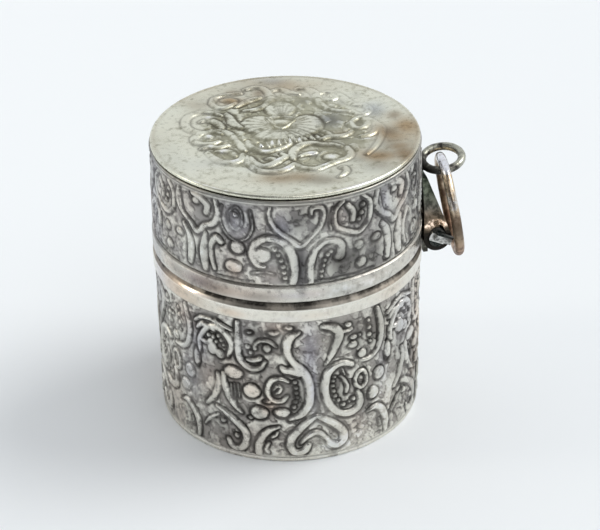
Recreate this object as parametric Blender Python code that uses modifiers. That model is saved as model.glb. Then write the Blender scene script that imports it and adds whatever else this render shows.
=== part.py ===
# Silver thimble case: a drum with a hinged lid, a rolled hinge and a jump ring on a fixed eye.
# Metres, +Z up. The origin is the centre of the base's underside, and the hinge lies at +X.

import bpy
import bmesh
from math import acos, asin, atan, atan2, cos, pi, radians, sin, sqrt
from mathutils import Euler, Matrix, Vector

for old in list(bpy.data.objects):
    bpy.data.objects.remove(old, do_unlink=True)

# Joints between fixed pieces, and the play of the moving ones
SEAM = 0.0003
LID_FIT = 0.0002
PIN_FIT = 0.00006
KNUCKLE_GAP = 0.0002
SPLIT_GAP = 0.0002
LINK_PLAY = 0.0002
LINK_SLACK = 0.00005

# Drum: every radius is built outwards from the collar that the lid slides on
COLLAR_RADIUS = 0.01235
COLLAR_WALL = 0.0004
COLLAR_RISE = 0.0020
COLLAR_SEAT = 0.0034
COLLAR_LEAD = 0.00015
BODY_SHEET = 0.00034
BODY_HEIGHT = 0.0181
RIM_HEIGHT = 0.00195
RIM_SWELL = 0.00007
RIM_CROWN = 0.00035
LID_SHEET = 0.0005
LID_BAND_WALL = 0.00073
LID_HEIGHT = 0.0112
LID_BAND = 0.0016
LID_TAPER = 0.00007
EDGE_ROUND = 0.00012
BASE_PLATE = 0.0006
TOP_PLATE = 0.0005
TOP_OVERHANG = 0.00002

# Chasing: raised bands that repeat every quarter turn, the first pattern facing the front
BODY_RELIEF = 0.00026
LID_RELIEF = 0.00018
TOP_RELIEF = 0.0001
BAND_WIDTH = 0.00124
QUARTERS = 4
FRONT = radians(-103.2)

# Hinge: sheet rolled round a pin, its barrel let into the rims as deep as the collar allows
PIN_RADIUS = 0.00089
BARREL_LENGTH = 0.0096
MIDDLE_SHARE = 0.34
LEAF_SHEET = 0.00045
LEAF_RISE = 0.0050
LEAF_TIP_WIDTH = 0.0030
LEAF_TIP_ROUND = 0.0006
BODY_LEAF_DROP = 0.0033
PIN_OVERHANG = 0.00015
TAB_THICKNESS = 0.00035
TAB_WIDTH = 0.00085
TAB_LENGTH = 0.0018
TAB_BACK = 0.00045
TAB_LIFT = 0.00024
TAB_ANGLE = radians(25)

# Suspension eye on its foot, and the jump ring that hangs on it
EYE_WIRE = 0.00041
EYE_DROOP = radians(8)
EYE_RISE = radians(9)
FOOT_HEIGHT = 0.00055
FOOT_RADIUS = 0.00045
FOOT_NECK_RADIUS = 0.00033
RING_RADIUS = 0.00475
RING_WIRE = 0.00048
RING_YAW = radians(8.3)
RING_STANDOFF = 0.0005
HANG_ANGLE = radians(12)

# How far a cutter runs past what it cuts
CUT_OVERRUN = 0.001

# Faceting
ROUND_STEPS = 80
BARREL_STEPS = 40
RING_STEPS = 56
WIRE_STEPS = 12
SMOOTH_ANGLE = radians(30)

BODY_INNER = COLLAR_RADIUS + SEAM
BODY_GROUND = BODY_INNER + BODY_SHEET
BODY_RADIUS = BODY_GROUND + BODY_RELIEF
RIM_RADIUS = BODY_RADIUS + RIM_SWELL
RIM_FOOT_Z = BODY_HEIGHT - RIM_HEIGHT
LID_INNER = COLLAR_RADIUS + LID_FIT
LID_RADIUS = LID_INNER + LID_BAND_WALL
LID_GROUND = LID_INNER + LID_SHEET
LID_NECK_GROUND = LID_GROUND - LID_TAPER
LID_EDGE_Z = BODY_HEIGHT + SPLIT_GAP
TOTAL_HEIGHT = LID_EDGE_Z + LID_HEIGHT
LID_WALL_TOP = TOTAL_HEIGHT - TOP_PLATE - SEAM
TOP_RADIUS = LID_NECK_GROUND + TOP_OVERHANG
BARREL_RADIUS = PIN_RADIUS + PIN_FIT + LEAF_SHEET
HINGE = Vector((COLLAR_RADIUS + SEAM + BARREL_RADIUS, 0, LID_EDGE_Z))
MIDDLE_LENGTH = BARREL_LENGTH * MIDDLE_SHARE

case = bpy.data.collections.new("thimble_case")
cutters = bpy.data.collections.new("cutters")
for group in (case, cutters):
    bpy.context.scene.collection.children.link(group)


def material(name, colour, roughness):
    """A metal with its base colour and roughness."""
    mat = bpy.data.materials.new(name)
    mat.use_nodes = True
    bsdf = mat.node_tree.nodes["Principled BSDF"]
    bsdf.inputs["Base Color"].default_value = (*colour, 1)
    bsdf.inputs["Metallic"].default_value = 1
    bsdf.inputs["Roughness"].default_value = roughness
    return mat


BRIGHT = material("worn_silver", (0.78, 0.76, 0.70), 0.28)
CHASED = material("chased_silver", (0.55, 0.52, 0.47), 0.38)
INNER = material("inner_silver", (0.62, 0.58, 0.50), 0.35)
DARK = material("tarnished_silver", (0.16, 0.16, 0.14), 0.45)
WARM = material("warm_tarnished_silver", (0.42, 0.33, 0.24), 0.35)


def world_place(pivot):
    """Where an empty stands, from its own and its parents' places."""
    place = Vector()
    while pivot:
        place += pivot.location
        pivot = pivot.parent
    return place


def pivot_at(name, place, parent=None):
    """An empty on a joint's axis, which carries the pieces that move."""
    pivot = bpy.data.objects.new(name, None)
    case.objects.link(pivot)
    pivot.parent = parent
    pivot.location = place - world_place(parent)
    return pivot


def add_piece(name, mesh, mat, pivot=None, place=Vector()):
    """A piece of the case at a world place, carried by its joint's empty if it moves."""
    obj = bpy.data.objects.new(name, mesh)
    case.objects.link(obj)
    obj.parent = pivot
    obj.location = place - world_place(pivot)
    mesh.materials.append(mat)
    return obj


def add_cutter(name, mesh, place):
    """A hidden shape that other pieces are cut by or joined with."""
    obj = bpy.data.objects.new(name, mesh)
    cutters.objects.link(obj)
    obj.location = place
    obj.hide_render = True
    obj.display_type = "WIRE"
    return obj


def boolean(obj, other, operation="DIFFERENCE"):
    """Cut or join with the exact solver. What is joined may run over itself."""
    cut = obj.modifiers.new(other.name, "BOOLEAN")
    cut.operation = operation
    cut.solver = "EXACT"
    cut.use_self = operation == "UNION"
    cut.object = other


def arc(centre, radius, start, stop, steps):
    """Points of an arc in an outline."""
    turns = [start + (stop - start) * i / steps for i in range(steps + 1)]
    return [(centre[0] + radius * cos(t), centre[1] + radius * sin(t)) for t in turns]


def turned(name, points, mat, pivot=None):
    """A closed turned solid. The outline runs down the outer side first and is spun about Z."""
    mesh = bpy.data.meshes.new(name)
    bm = bmesh.new()
    ring = [bm.verts.new((r, 0, z)) for r, z in points]
    for first, second in zip(ring, ring[1:]):
        bm.edges.new((first, second))
    if points[0][0] > 0:
        bm.edges.new((ring[-1], ring[0]))
    bm.to_mesh(mesh)
    bm.free()
    obj = add_piece(name, mesh, mat, pivot)
    spin = obj.modifiers.new("Screw", "SCREW")
    spin.axis = "Z"
    spin.angle = 2 * pi
    spin.steps = ROUND_STEPS
    spin.render_steps = ROUND_STEPS
    spin.use_merge_vertices = True
    spin.merge_threshold = 0.000001
    return obj


def cone_mesh(name, low_radius, high_radius, length, steps, along):
    """A capped cone or cylinder about one direction, centred on its origin."""
    mesh = bpy.data.meshes.new(name)
    bm = bmesh.new()
    made = bmesh.ops.create_cone(
        bm, cap_ends=True, segments=steps, radius1=low_radius, radius2=high_radius, depth=length
    )
    turn = Vector(along).to_track_quat("Z", "Y").to_matrix()
    bmesh.ops.rotate(bm, verts=made["verts"], matrix=turn)
    bm.to_mesh(mesh)
    bm.free()
    return mesh


def barrel_mesh(name, radius, length):
    """A cylinder along the hinge."""
    return cone_mesh(name, radius, radius, length, BARREL_STEPS, (0, 1, 0))


def box_mesh(name, low, high):
    """A box between two corners."""
    mesh = bpy.data.meshes.new(name)
    bm = bmesh.new()
    made = bmesh.ops.create_cube(bm, size=1)
    bmesh.ops.scale(bm, verts=made["verts"], vec=Vector(high) - Vector(low))
    bmesh.ops.translate(bm, verts=made["verts"], vec=(Vector(high) + Vector(low)) / 2)
    bm.to_mesh(mesh)
    bm.free()
    return mesh


def plate_mesh(name, points, thickness):
    """A flat outline in XY made solid both ways along Z, its caps welded on."""
    curve = bpy.data.curves.new(name, "CURVE")
    curve.dimensions = "2D"
    curve.fill_mode = "BOTH"
    curve.extrude = thickness / 2
    spline = curve.splines.new("POLY")
    spline.points.add(len(points) - 1)
    for point, (x, y) in zip(spline.points, points):
        point.co = (x, y, 0, 1)
    spline.use_cyclic_u = True
    guide = bpy.data.objects.new(name, curve)
    bpy.context.scene.collection.objects.link(guide)
    bpy.context.view_layer.update()
    shown = guide.evaluated_get(bpy.context.evaluated_depsgraph_get())
    mesh = bpy.data.meshes.new_from_object(shown)
    bpy.data.objects.remove(guide, do_unlink=True)
    bm = bmesh.new()
    bm.from_mesh(mesh)
    bmesh.ops.remove_doubles(bm, verts=bm.verts, dist=0.000001)
    bmesh.ops.recalc_face_normals(bm, faces=bm.faces)
    bm.to_mesh(mesh)
    bm.free()
    return mesh


def torus_mesh(name, radius, wire, steps):
    """A round wire ring about Z."""
    bpy.ops.mesh.primitive_torus_add(
        major_radius=radius, minor_radius=wire, major_segments=steps, minor_segments=WIRE_STEPS
    )
    made = bpy.context.active_object
    mesh = made.data
    mesh.name = name
    bpy.data.objects.remove(made, do_unlink=True)
    return mesh


def band_sides(centres, halves):
    """The two edges of a band that runs through its centres with these half widths."""
    sides = ([], [])
    for i, (centre, half) in enumerate(zip(centres, halves)):
        along = (centres[min(i + 1, len(centres) - 1)] - centres[max(i - 1, 0)]).normalized()
        out = Vector((-along.y, along.x)) * half
        sides[0].append(centre + out)
        sides[1].append(centre - out)
    return sides


def bands_cutter(name, bands, bend, lift):
    """Raised bands as one cutter. Bend places a band's flat edges at its root, and lift carries
    the root up to the band's crown."""
    bm = bmesh.new()
    for sides in bands:
        edges = []
        for side in sides:
            line = [bm.verts.new(bend(place)) for place in side]
            edges += [bm.edges.new(pair) for pair in zip(line, line[1:])]
        bmesh.ops.bridge_loops(bm, edges=edges)
    raised = bmesh.ops.extrude_face_region(bm, geom=bm.faces[:], use_keep_orig=True)["geom"]
    for vert in [v for v in raised if isinstance(v, bmesh.types.BMVert)]:
        vert.co = lift(vert.co)
    bmesh.ops.recalc_face_normals(bm, faces=bm.faces)
    mesh = bpy.data.meshes.new(name)
    bm.to_mesh(mesh)
    bm.free()
    return add_cutter(name, mesh, Vector())


def wall_bands(name, bands, low, high, relief, sheet):
    """Bands round a wall from a foot to a head of (radius, height), once each quarter turn. Their
    points are shares of a quarter turn, of the wall's height and of the widest band."""
    quarter = 2 * pi / QUARTERS
    middle = (low[0] + high[0]) / 2
    root = middle - sheet / 2
    sides = []
    for turn in range(QUARTERS):
        for band in bands:
            centres = [
                Vector(((turn + across) * quarter * middle, low[1] + up * (high[1] - low[1])))
                for across, up, wide in band
            ]
            sides.append(band_sides(centres, [wide * BAND_WIDTH / 2 for across, up, wide in band]))

    def bend(place):
        way = FRONT + place.x / middle
        return (root * cos(way), root * sin(way), place.y)

    def lift(place):
        share = (place.z - low[1]) / (high[1] - low[1])
        scale = (low[0] + share * (high[0] - low[0]) + relief) / root
        return (place.x * scale, place.y * scale, place.z)

    return bands_cutter(name, sides, bend, lift)


lid_axis = pivot_at("lid_hinge_axis", HINGE)

# The barrel's bed, cut into the body's rim and the lid's wall
barrel_bed = add_cutter(
    "barrel_bed", barrel_mesh("barrel_bed", BARREL_RADIUS + SEAM, BARREL_LENGTH + 2 * SEAM), HINGE
)

# Base: a flat disc soldered inside the foot of the wall
base_radius = BODY_INNER - SEAM
turned("base_disc", [(0, BASE_PLATE), (base_radius, BASE_PLATE), (base_radius, 0), (0, 0)], INNER)

# Body wall: sheet with a small round at the foot, and the main scrolls of its chasing
wall_top = RIM_FOOT_Z - SEAM
body_wall = turned(
    "body_wall",
    [(BODY_GROUND, wall_top)]
    + arc((BODY_GROUND - EDGE_ROUND, EDGE_ROUND), EDGE_ROUND, 0, -pi / 2, 2)
    + [(BODY_INNER, 0), (BODY_INNER, wall_top)],
    CHASED,
)
BODY_BAND_SHARES = [
    [(0.044, 0.95, 0.65), (0, 0.93, 0.81), (-0.018, 0.86, 1.00), (-0.009, 0.77, 0.81),
     (0.038, 0.69, 0.73), (0.089, 0.62, 0.73), (0.108, 0.52, 0.71), (0.096, 0.41, 0.68),
     (0.051, 0.33, 0.68), (0.004, 0.33, 0.68), (-0.040, 0.37, 0.74)],
    [(0.318, 0.65, 0.68), (0.251, 0.67, 0.68), (0.196, 0.60, 0.68), (0.174, 0.50, 0.68),
     (0.187, 0.38, 0.68), (0.231, 0.31, 0.68), (0.296, 0.30, 0.74), (0.342, 0.37, 0.74)],
    [(0.164, 0.94, 0.65), (0.209, 0.93, 0.97), (0.229, 0.85, 1.00), (0.211, 0.77, 0.68),
     (0.180, 0.70, 0.32)],
    [(0.084, 0.14, 0.55), (0.073, 0.07, 0.65), (0.027, 0.06, 0.68), (-0.004, 0.12, 0.71),
     (0.033, 0.21, 0.71), (0.128, 0.35, 0.71), (0.222, 0.25, 0.74), (0.266, 0.15, 0.74),
     (0.236, 0.08, 0.68), (0.187, 0.12, 0.58)],
    [(-0.416, 0.15, 0.52), (-0.433, 0.08, 0.65), (-0.478, 0.08, 0.68), (-0.493, 0.15, 0.71),
     (-0.440, 0.25, 0.68), (-0.349, 0.33, 0.68), (-0.244, 0.23, 0.71), (-0.209, 0.15, 0.71),
     (-0.229, 0.07, 0.68), (-0.282, 0.08, 0.61)],
    [(-0.238, 0.97, 0.58), (-0.246, 0.86, 0.68), (-0.220, 0.73, 0.71), (-0.160, 0.66, 0.65),
     (-0.084, 0.68, 0.48)],
    [(-0.449, 0.73, 0.42), (-0.449, 0.83, 0.61), (-0.400, 0.91, 0.68), (-0.333, 0.91, 0.68),
     (-0.293, 0.83, 0.61), (-0.293, 0.73, 0.42)],
    [(0.456, 0.97, 0.55), (0.471, 0.82, 0.68), (0.449, 0.70, 0.65), (0.389, 0.66, 0.39)],
    [(-0.322, 0.57, 0.48), (-0.316, 0.48, 0.87), (-0.284, 0.40, 0.74), (-0.233, 0.35, 0.35)],
    [(-0.413, 0.61, 0.48), (-0.422, 0.48, 0.87), (-0.453, 0.40, 0.74), (-0.502, 0.34, 0.35)],
    [(-0.018, 0.59, 0.35), (-0.067, 0.59, 0.58), (-0.101, 0.52, 0.61), (-0.073, 0.46, 0.61),
     (-0.036, 0.49, 0.48)],
    [(-0.222, 0.51, 0.65), (-0.178, 0.51, 1.29), (-0.133, 0.51, 0.65)],
    [(-0.191, 0.35, 0.58), (-0.147, 0.35, 1.16), (-0.102, 0.35, 0.58)],
    [(-0.411, 0.71, 0.65), (-0.369, 0.71, 1.29), (-0.327, 0.71, 0.65)],
    [(0.473, 0.61, 0.65), (0.518, 0.61, 1.29), (0.560, 0.61, 0.65)],
    [(0.404, 0.52, 0.61), (0.447, 0.52, 1.23), (0.489, 0.52, 0.61)],
    [(0.382, 0.38, 0.58), (0.422, 0.38, 1.16), (0.462, 0.38, 0.58)],
    [(-0.149, 0.06, 0.81), (-0.151, 0.15, 0.81), (-0.127, 0.23, 0.71), (-0.076, 0.28, 0.42)],
    [(0.327, 0.52, 0.65), (0.356, 0.52, 1.29), (0.384, 0.52, 0.65)],
    [(-0.380, 0.52, 0.97), (-0.367, 0.52, 1.69), (-0.353, 0.52, 0.97)],
    [(-0.158, 0.79, 0.35), (-0.111, 0.85, 0.55), (-0.062, 0.83, 0.35)],
    [(0.273, 0.93, 0.39), (0.293, 0.93, 0.68), (0.313, 0.93, 0.39)],
    [(0.331, 0.73, 0.48), (0.358, 0.73, 0.87), (0.384, 0.73, 0.48)],
]
body_bands = wall_bands(
    "body_bands", BODY_BAND_SHARES, (BODY_GROUND, 0), (BODY_GROUND, wall_top), BODY_RELIEF, BODY_SHEET
)
boolean(body_wall, body_bands, "UNION")

# Rim moulding on the body: a plain band that rolls in to the split
crown_x = RIM_RADIUS - RIM_CROWN
rim = turned(
    "body_rim_moulding",
    [(crown_x, BODY_HEIGHT)]
    + arc((crown_x, BODY_HEIGHT - 2 * RIM_CROWN), RIM_CROWN, pi / 3, 0, 4)
    + arc((RIM_RADIUS - EDGE_ROUND, RIM_FOOT_Z + EDGE_ROUND), EDGE_ROUND, 0, -pi / 2, 3)
    + [(BODY_INNER, RIM_FOOT_Z), (BODY_INNER, BODY_HEIGHT)],
    BRIGHT,
)
boolean(rim, barrel_bed)

# Collar: the inner sleeve that seats the lid, with a lead-in round its top
collar_top = BODY_HEIGHT + COLLAR_RISE
collar_foot = BODY_HEIGHT - COLLAR_SEAT
turned(
    "inner_collar",
    [
        (COLLAR_RADIUS - COLLAR_LEAD, collar_top),
        (COLLAR_RADIUS, collar_top - 2 * COLLAR_LEAD),
        (COLLAR_RADIUS, collar_foot),
        (COLLAR_RADIUS - COLLAR_WALL, collar_foot),
        (COLLAR_RADIUS - COLLAR_WALL, collar_top),
    ],
    INNER,
)

# Lid wall: a plain band at its edge, then the chased wall, drawn in a little towards the top
band_top = LID_EDGE_Z + LID_BAND
lid_wall = turned(
    "lid_wall",
    [(LID_NECK_GROUND, LID_WALL_TOP), (LID_GROUND, band_top + EDGE_ROUND), (LID_RADIUS, band_top)]
    + arc((LID_RADIUS - EDGE_ROUND, LID_EDGE_Z + EDGE_ROUND), EDGE_ROUND, 0, -pi / 2, 3)
    + [(LID_INNER, LID_EDGE_Z), (LID_INNER, LID_WALL_TOP)],
    CHASED,
    lid_axis,
)
LID_BAND_SHARES = [
    [(-0.073, 0.85, 0.42), (-0.036, 0.68, 0.48), (0.062, 0.52, 0.55), (0.142, 0.67, 0.48),
     (0.170, 0.81, 0.48), (0.149, 0.93, 0.42)],
    [(0.027, 0.06, 0.61), (0.034, 0.24, 0.68), (0.007, 0.42, 0.68), (-0.056, 0.53, 0.68),
     (-0.129, 0.51, 0.65), (-0.156, 0.36, 0.65), (-0.129, 0.26, 0.48)],
    [(0.109, 0.06, 0.55), (0.108, 0.26, 0.58), (0.140, 0.41, 0.58), (0.200, 0.49, 0.58),
     (0.249, 0.40, 0.74)],
    [(0.227, 0.86, 0.39), (0.240, 0.66, 0.45), (0.300, 0.57, 0.48), (0.371, 0.58, 0.48),
     (0.409, 0.75, 0.48), (0.382, 0.92, 0.39)],
    [(-0.396, 0.09, 0.68), (-0.401, 0.25, 0.94), (-0.398, 0.41, 0.65)],
    [(-0.482, 0.09, 0.68), (-0.477, 0.25, 0.94), (-0.480, 0.41, 0.65)],
    [(-0.551, 0.81, 0.48), (-0.518, 0.66, 0.52), (-0.438, 0.53, 0.55), (-0.349, 0.66, 0.52),
     (-0.321, 0.83, 0.48)],
    [(-0.291, 0.83, 0.97), (-0.260, 0.83, 1.94), (-0.204, 0.83, 1.94), (-0.173, 0.83, 0.97)],
    [(-0.262, 0.45, 0.58), (-0.224, 0.45, 1.16), (-0.187, 0.45, 0.58)],
    [(-0.289, 0.20, 0.65), (-0.247, 0.20, 1.29), (-0.204, 0.20, 0.65)],
    [(0.316, 0.38, 0.48), (0.344, 0.38, 0.97), (0.373, 0.38, 0.48)],
    [(0.327, 0.17, 0.52), (0.358, 0.17, 1.03), (0.389, 0.17, 0.52)],
]
lid_bands = wall_bands(
    "lid_bands",
    LID_BAND_SHARES,
    (LID_GROUND, band_top),
    (LID_NECK_GROUND, LID_WALL_TOP),
    LID_RELIEF,
    LID_SHEET,
)
boolean(lid_wall, lid_bands, "UNION")
boolean(lid_wall, barrel_bed)

# Lid top: a flat disc with a rounded edge, and the main petals and scrolls raised on it. Their
# points are shares of the top's radius and of the widest band.
top_face = TOTAL_HEIGHT - TOP_RELIEF
half_top = (TOP_PLATE - TOP_RELIEF) / 2
lid_top = turned(
    "lid_top",
    [(0, top_face)]
    + arc((TOP_RADIUS - half_top, top_face - half_top), half_top, pi / 2, -pi / 2, 6)
    + [(0, TOTAL_HEIGHT - TOP_PLATE)],
    BRIGHT,
    lid_axis,
)
TOP_BAND_SHARES = [
    [(-0.48, 0.30, 0.48), (-0.65, 0.31, 0.65), (-0.72, 0.17, 0.68), (-0.64, 0.05, 0.68),
     (-0.43, 0.02, 0.48)],
    [(-0.66, -0.05, 0.48), (-0.65, -0.15, 0.65), (-0.54, -0.18, 0.65), (-0.48, -0.09, 0.48)],
    [(-0.51, -0.26, 0.48), (-0.46, -0.33, 0.68), (-0.37, -0.30, 0.68), (-0.38, -0.19, 0.48)],
    [(-0.52, -0.39, 0.45), (-0.43, -0.47, 0.65), (-0.33, -0.44, 0.58)],
    [(-0.25, -0.35, 0.45), (-0.23, -0.45, 0.61), (-0.12, -0.51, 0.68), (-0.02, -0.40, 0.58)],
    [(0.09, -0.38, 0.45), (0.12, -0.49, 0.65), (0.23, -0.55, 0.68), (0.33, -0.46, 0.58),
     (0.30, -0.35, 0.45)],
    [(0.36, -0.30, 0.45), (0.46, -0.33, 0.58), (0.42, -0.45, 0.42)],
    [(0.67, 0.11, 0.39), (0.70, -0.06, 0.48), (0.65, -0.23, 0.48), (0.55, -0.35, 0.39)],
    [(0.48, 0.14, 0.65), (0.54, 0.14, 1.45), (0.60, 0.14, 0.65)],
    [(0.25, 0.61, 0.48), (0.37, 0.68, 0.68), (0.52, 0.61, 0.61), (0.49, 0.50, 0.48)],
    [(0.35, 0.52, 0.48), (0.40, 0.38, 0.71), (0.57, 0.36, 0.74), (0.63, 0.45, 0.55)],
    [(-0.07, 0.73, 0.42), (0.06, 0.75, 0.58), (0.15, 0.64, 0.58), (0.22, 0.46, 0.61),
     (0.32, 0.33, 0.42)],
    [(-0.38, 0.47, 0.39), (-0.26, 0.50, 1.00), (-0.12, 0.58, 0.48)],
    [(-0.55, 0.60, 0.39), (-0.51, 0.48, 0.68), (-0.37, 0.38, 0.48)],
    [(-0.43, 0.66, 0.39), (-0.31, 0.64, 0.58), (-0.20, 0.72, 0.55), (-0.14, 0.66, 0.48)],
    [(-0.34, -0.06, 0.39), (-0.31, -0.20, 0.55), (-0.18, -0.29, 0.58), (0.02, -0.26, 0.52),
     (0.29, -0.14, 0.39)],
    [(-0.28, 0.02, 1.13), (-0.18, 0.02, 2.26), (-0.09, 0.02, 1.13)],
    [(0.05, 0.03, 1.13), (0.15, 0.03, 2.26), (0.25, 0.03, 1.13)],
    [(-0.31, 0.25, 0.73), (-0.24, 0.25, 1.53), (-0.17, 0.25, 0.81)],
    [(0.07, 0.28, 0.81), (0.15, 0.28, 1.53), (0.23, 0.28, 0.81)],
    [(-0.05, 0.26, 0.81), (-0.04, 0.38, 1.61), (-0.02, 0.49, 0.81)],
]
top_sides = [
    band_sides(
        [TOP_RADIUS * Vector((across, ahead)) for across, ahead, wide in band],
        [wide * BAND_WIDTH / 2 for across, ahead, wide in band],
    )
    for band in TOP_BAND_SHARES
]
top_turn = Matrix.Rotation(FRONT + pi / 2, 2)
top_bands = bands_cutter(
    "top_bands",
    top_sides,
    lambda place: (*(top_turn @ place), top_face - half_top),
    lambda place: (place.x, place.y, TOTAL_HEIGHT),
)
boolean(lid_top, top_bands, "UNION")


def lid_wall_radius(z):
    """Outer radius of the lid's wall at a height, over its bands."""
    return LID_GROUND + LID_RELIEF - LID_TAPER * (z - band_top) / (LID_WALL_TOP - band_top)


# Lid leaf: a sheet that runs down from its tip on the wall to touch the barrel's outer side, and
# rolls round the pin from there. Its slope follows from the barrel and from where the tip seats.
leaf_tip_z = HINGE.z + LEAF_RISE
leaf_tip_x = lid_wall_radius(leaf_tip_z) + SEAM + LEAF_SHEET
tip_reach = sqrt((leaf_tip_x - HINGE.x) ** 2 + LEAF_RISE ** 2)
leaf_slope = atan2(HINGE.x - leaf_tip_x, LEAF_RISE) + asin(BARREL_RADIUS / tip_reach)
leaf_length = sqrt(tip_reach ** 2 - BARREL_RADIUS ** 2)
roll_radius = BARREL_RADIUS - LEAF_SHEET / 2
roll_turn = 2 * pi - acos((BARREL_RADIUS - LEAF_SHEET) / BARREL_RADIUS) - KNUCKLE_GAP / BARREL_RADIUS
touch = roll_radius * Vector((cos(leaf_slope), 0, sin(leaf_slope)))
tip = touch + leaf_length * Vector((-sin(leaf_slope), 0, cos(leaf_slope)))
roll = arc((0, 0), roll_radius, leaf_slope, leaf_slope - roll_turn, BARREL_STEPS)

mesh = bpy.data.meshes.new("lid_hinge_leaf")
bm = bmesh.new()
path = [bm.verts.new((x, -BARREL_LENGTH / 2, z)) for x, z in [(tip.x, tip.z)] + roll]
edges = [bm.edges.new(pair) for pair in zip(path, path[1:])]
swept = bmesh.ops.extrude_edge_only(bm, edges=edges)
far_side = [v for v in swept["geom"] if isinstance(v, bmesh.types.BMVert)]
bmesh.ops.translate(bm, verts=far_side, vec=(0, BARREL_LENGTH, 0))
bm.to_mesh(mesh)
bm.free()
lid_leaf = add_piece("lid_hinge_leaf", mesh, DARK, lid_axis, HINGE)
sheet = lid_leaf.modifiers.new("Solidify", "SOLIDIFY")
sheet.thickness = LEAF_SHEET
sheet.offset = 0

# The leaf's back is filled down to the wall, so that it is a wedge over the barrel
wedge_turn = asin(SEAM / roll_radius)
wedge_back = COLLAR_RADIUS - HINGE.x
wedge_outline = [(tip.x, tip.z)] + arc((0, 0), roll_radius, leaf_slope, pi - wedge_turn, BARREL_STEPS // 4)
wedge_outline += [(wedge_back, SEAM), (wedge_back, tip.z)]
wedge = add_cutter("leaf_wedge", plate_mesh("leaf_wedge", wedge_outline, BARREL_LENGTH), HINGE)
wedge.rotation_euler = (pi / 2, 0, 0)
wall_reach = add_cutter(
    "wall_reach",
    cone_mesh(
        "wall_reach",
        lid_wall_radius(LID_EDGE_Z - CUT_OVERRUN) + SEAM,
        lid_wall_radius(TOTAL_HEIGHT) + SEAM,
        LID_HEIGHT + CUT_OVERRUN,
        ROUND_STEPS,
        (0, 0, 1),
    ),
    Vector((0, 0, (TOTAL_HEIGHT + LID_EDGE_Z - CUT_OVERRUN) / 2)),
)
boolean(wedge, wall_reach)
boolean(lid_leaf, wedge, "UNION")

# The leaf narrows from the barrel's full length to its tip, whose corners are round
half_barrel = BARREL_LENGTH / 2
half_tip = LEAF_TIP_WIDTH / 2
tip_corner = (half_tip - LEAF_TIP_ROUND, tip.z - LEAF_TIP_ROUND)
side = [(half_barrel + CUT_OVERRUN, -BARREL_RADIUS - CUT_OVERRUN), (half_barrel + CUT_OVERRUN, 0)]
side += [(half_barrel, touch.z)]
side += arc(tip_corner, LEAF_TIP_ROUND, pi / 8, pi / 2, 5)
outline = side + [(-y, z) for y, z in reversed(side)]
leaf_outline = add_cutter(
    "leaf_outline", plate_mesh("leaf_outline", outline, 2 * (BARREL_RADIUS + CUT_OVERRUN)), HINGE
)
leaf_outline.rotation_euler = (pi / 2, 0, pi / 2)
boolean(lid_leaf, leaf_outline, "INTERSECT")

# The middle of the roll is cut away for the body's knuckle
middle_slot = add_cutter(
    "middle_slot",
    barrel_mesh("middle_slot", BARREL_RADIUS + KNUCKLE_GAP, MIDDLE_LENGTH + 2 * KNUCKLE_GAP),
    HINGE,
)
boolean(lid_leaf, middle_slot)

# Body leaf: the middle knuckle on a short plate that runs down over the rim
body_leaf = add_piece(
    "body_hinge_leaf", barrel_mesh("body_hinge_leaf", BARREL_RADIUS, MIDDLE_LENGTH), DARK, None, HINGE
)
plate_x = RIM_RADIUS + SEAM - HINGE.x
body_plate = add_cutter(
    "body_plate",
    box_mesh(
        "body_plate",
        (plate_x, -MIDDLE_LENGTH / 2, -BODY_LEAF_DROP),
        (plate_x + LEAF_SHEET, MIDDLE_LENGTH / 2, -PIN_RADIUS),
    ),
    HINGE,
)
boolean(body_leaf, body_plate, "UNION")
pin_bore = add_cutter(
    "pin_bore", barrel_mesh("pin_bore", PIN_RADIUS + PIN_FIT, MIDDLE_LENGTH + 2 * CUT_OVERRUN), HINGE
)
boolean(body_leaf, pin_bore)

# Hinge pin, its front end beaten flat and bent outwards over the barrel's end
pin = add_piece(
    "hinge_pin", barrel_mesh("hinge_pin", PIN_RADIUS, BARREL_LENGTH + 2 * PIN_OVERHANG), DARK, None, HINGE
)
pin_tab = add_cutter(
    "pin_tab",
    box_mesh(
        "pin_tab",
        (-TAB_BACK, -TAB_THICKNESS, TAB_LIFT - TAB_WIDTH / 2),
        (TAB_LENGTH - TAB_BACK, PIN_OVERHANG / 3, TAB_LIFT + TAB_WIDTH / 2),
    ),
    HINGE - Vector((0, half_barrel + PIN_OVERHANG, 0)),
)
pin_tab.rotation_euler = (0, TAB_ANGLE, 0)
boolean(pin, pin_tab, "UNION")

# Eye: a wire ring, nearly level, whose inner side stands on a foot above the leaf's tip. The jump
# ring passes through it, so its size follows from the ring's.
link_reach = RING_WIRE + EYE_WIRE + LINK_SLACK
link_chord = sqrt(link_reach * (2 * RING_RADIUS - link_reach))
eye_radius = (link_chord + RING_WIRE + EYE_WIRE + LINK_PLAY) / 2
foot_base_z = leaf_tip_z + SEAM
foot_top_z = foot_base_z + FOOT_HEIGHT
eye_x = lid_wall_radius(foot_top_z) + SEAM + EYE_WIRE + eye_radius * cos(EYE_RISE)
eye_centre = Vector((eye_x, 0, foot_top_z + eye_radius * sin(EYE_RISE)))
eye_turn = Euler((EYE_DROOP, -EYE_RISE, 0))
eye_mesh = torus_mesh("suspension_eye", eye_radius, EYE_WIRE, RING_STEPS)
eye = add_piece("suspension_eye", eye_mesh, DARK, lid_axis, eye_centre)
eye.rotation_euler = eye_turn
foot = add_cutter(
    "eye_foot",
    cone_mesh("eye_foot", FOOT_RADIUS, FOOT_NECK_RADIUS, FOOT_HEIGHT, RING_STEPS // 2, (0, 0, 1)),
    Vector((eye_x - eye_radius * cos(EYE_RISE), 0, (foot_base_z + foot_top_z) / 2)),
)
boolean(eye, foot, "UNION")

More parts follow.
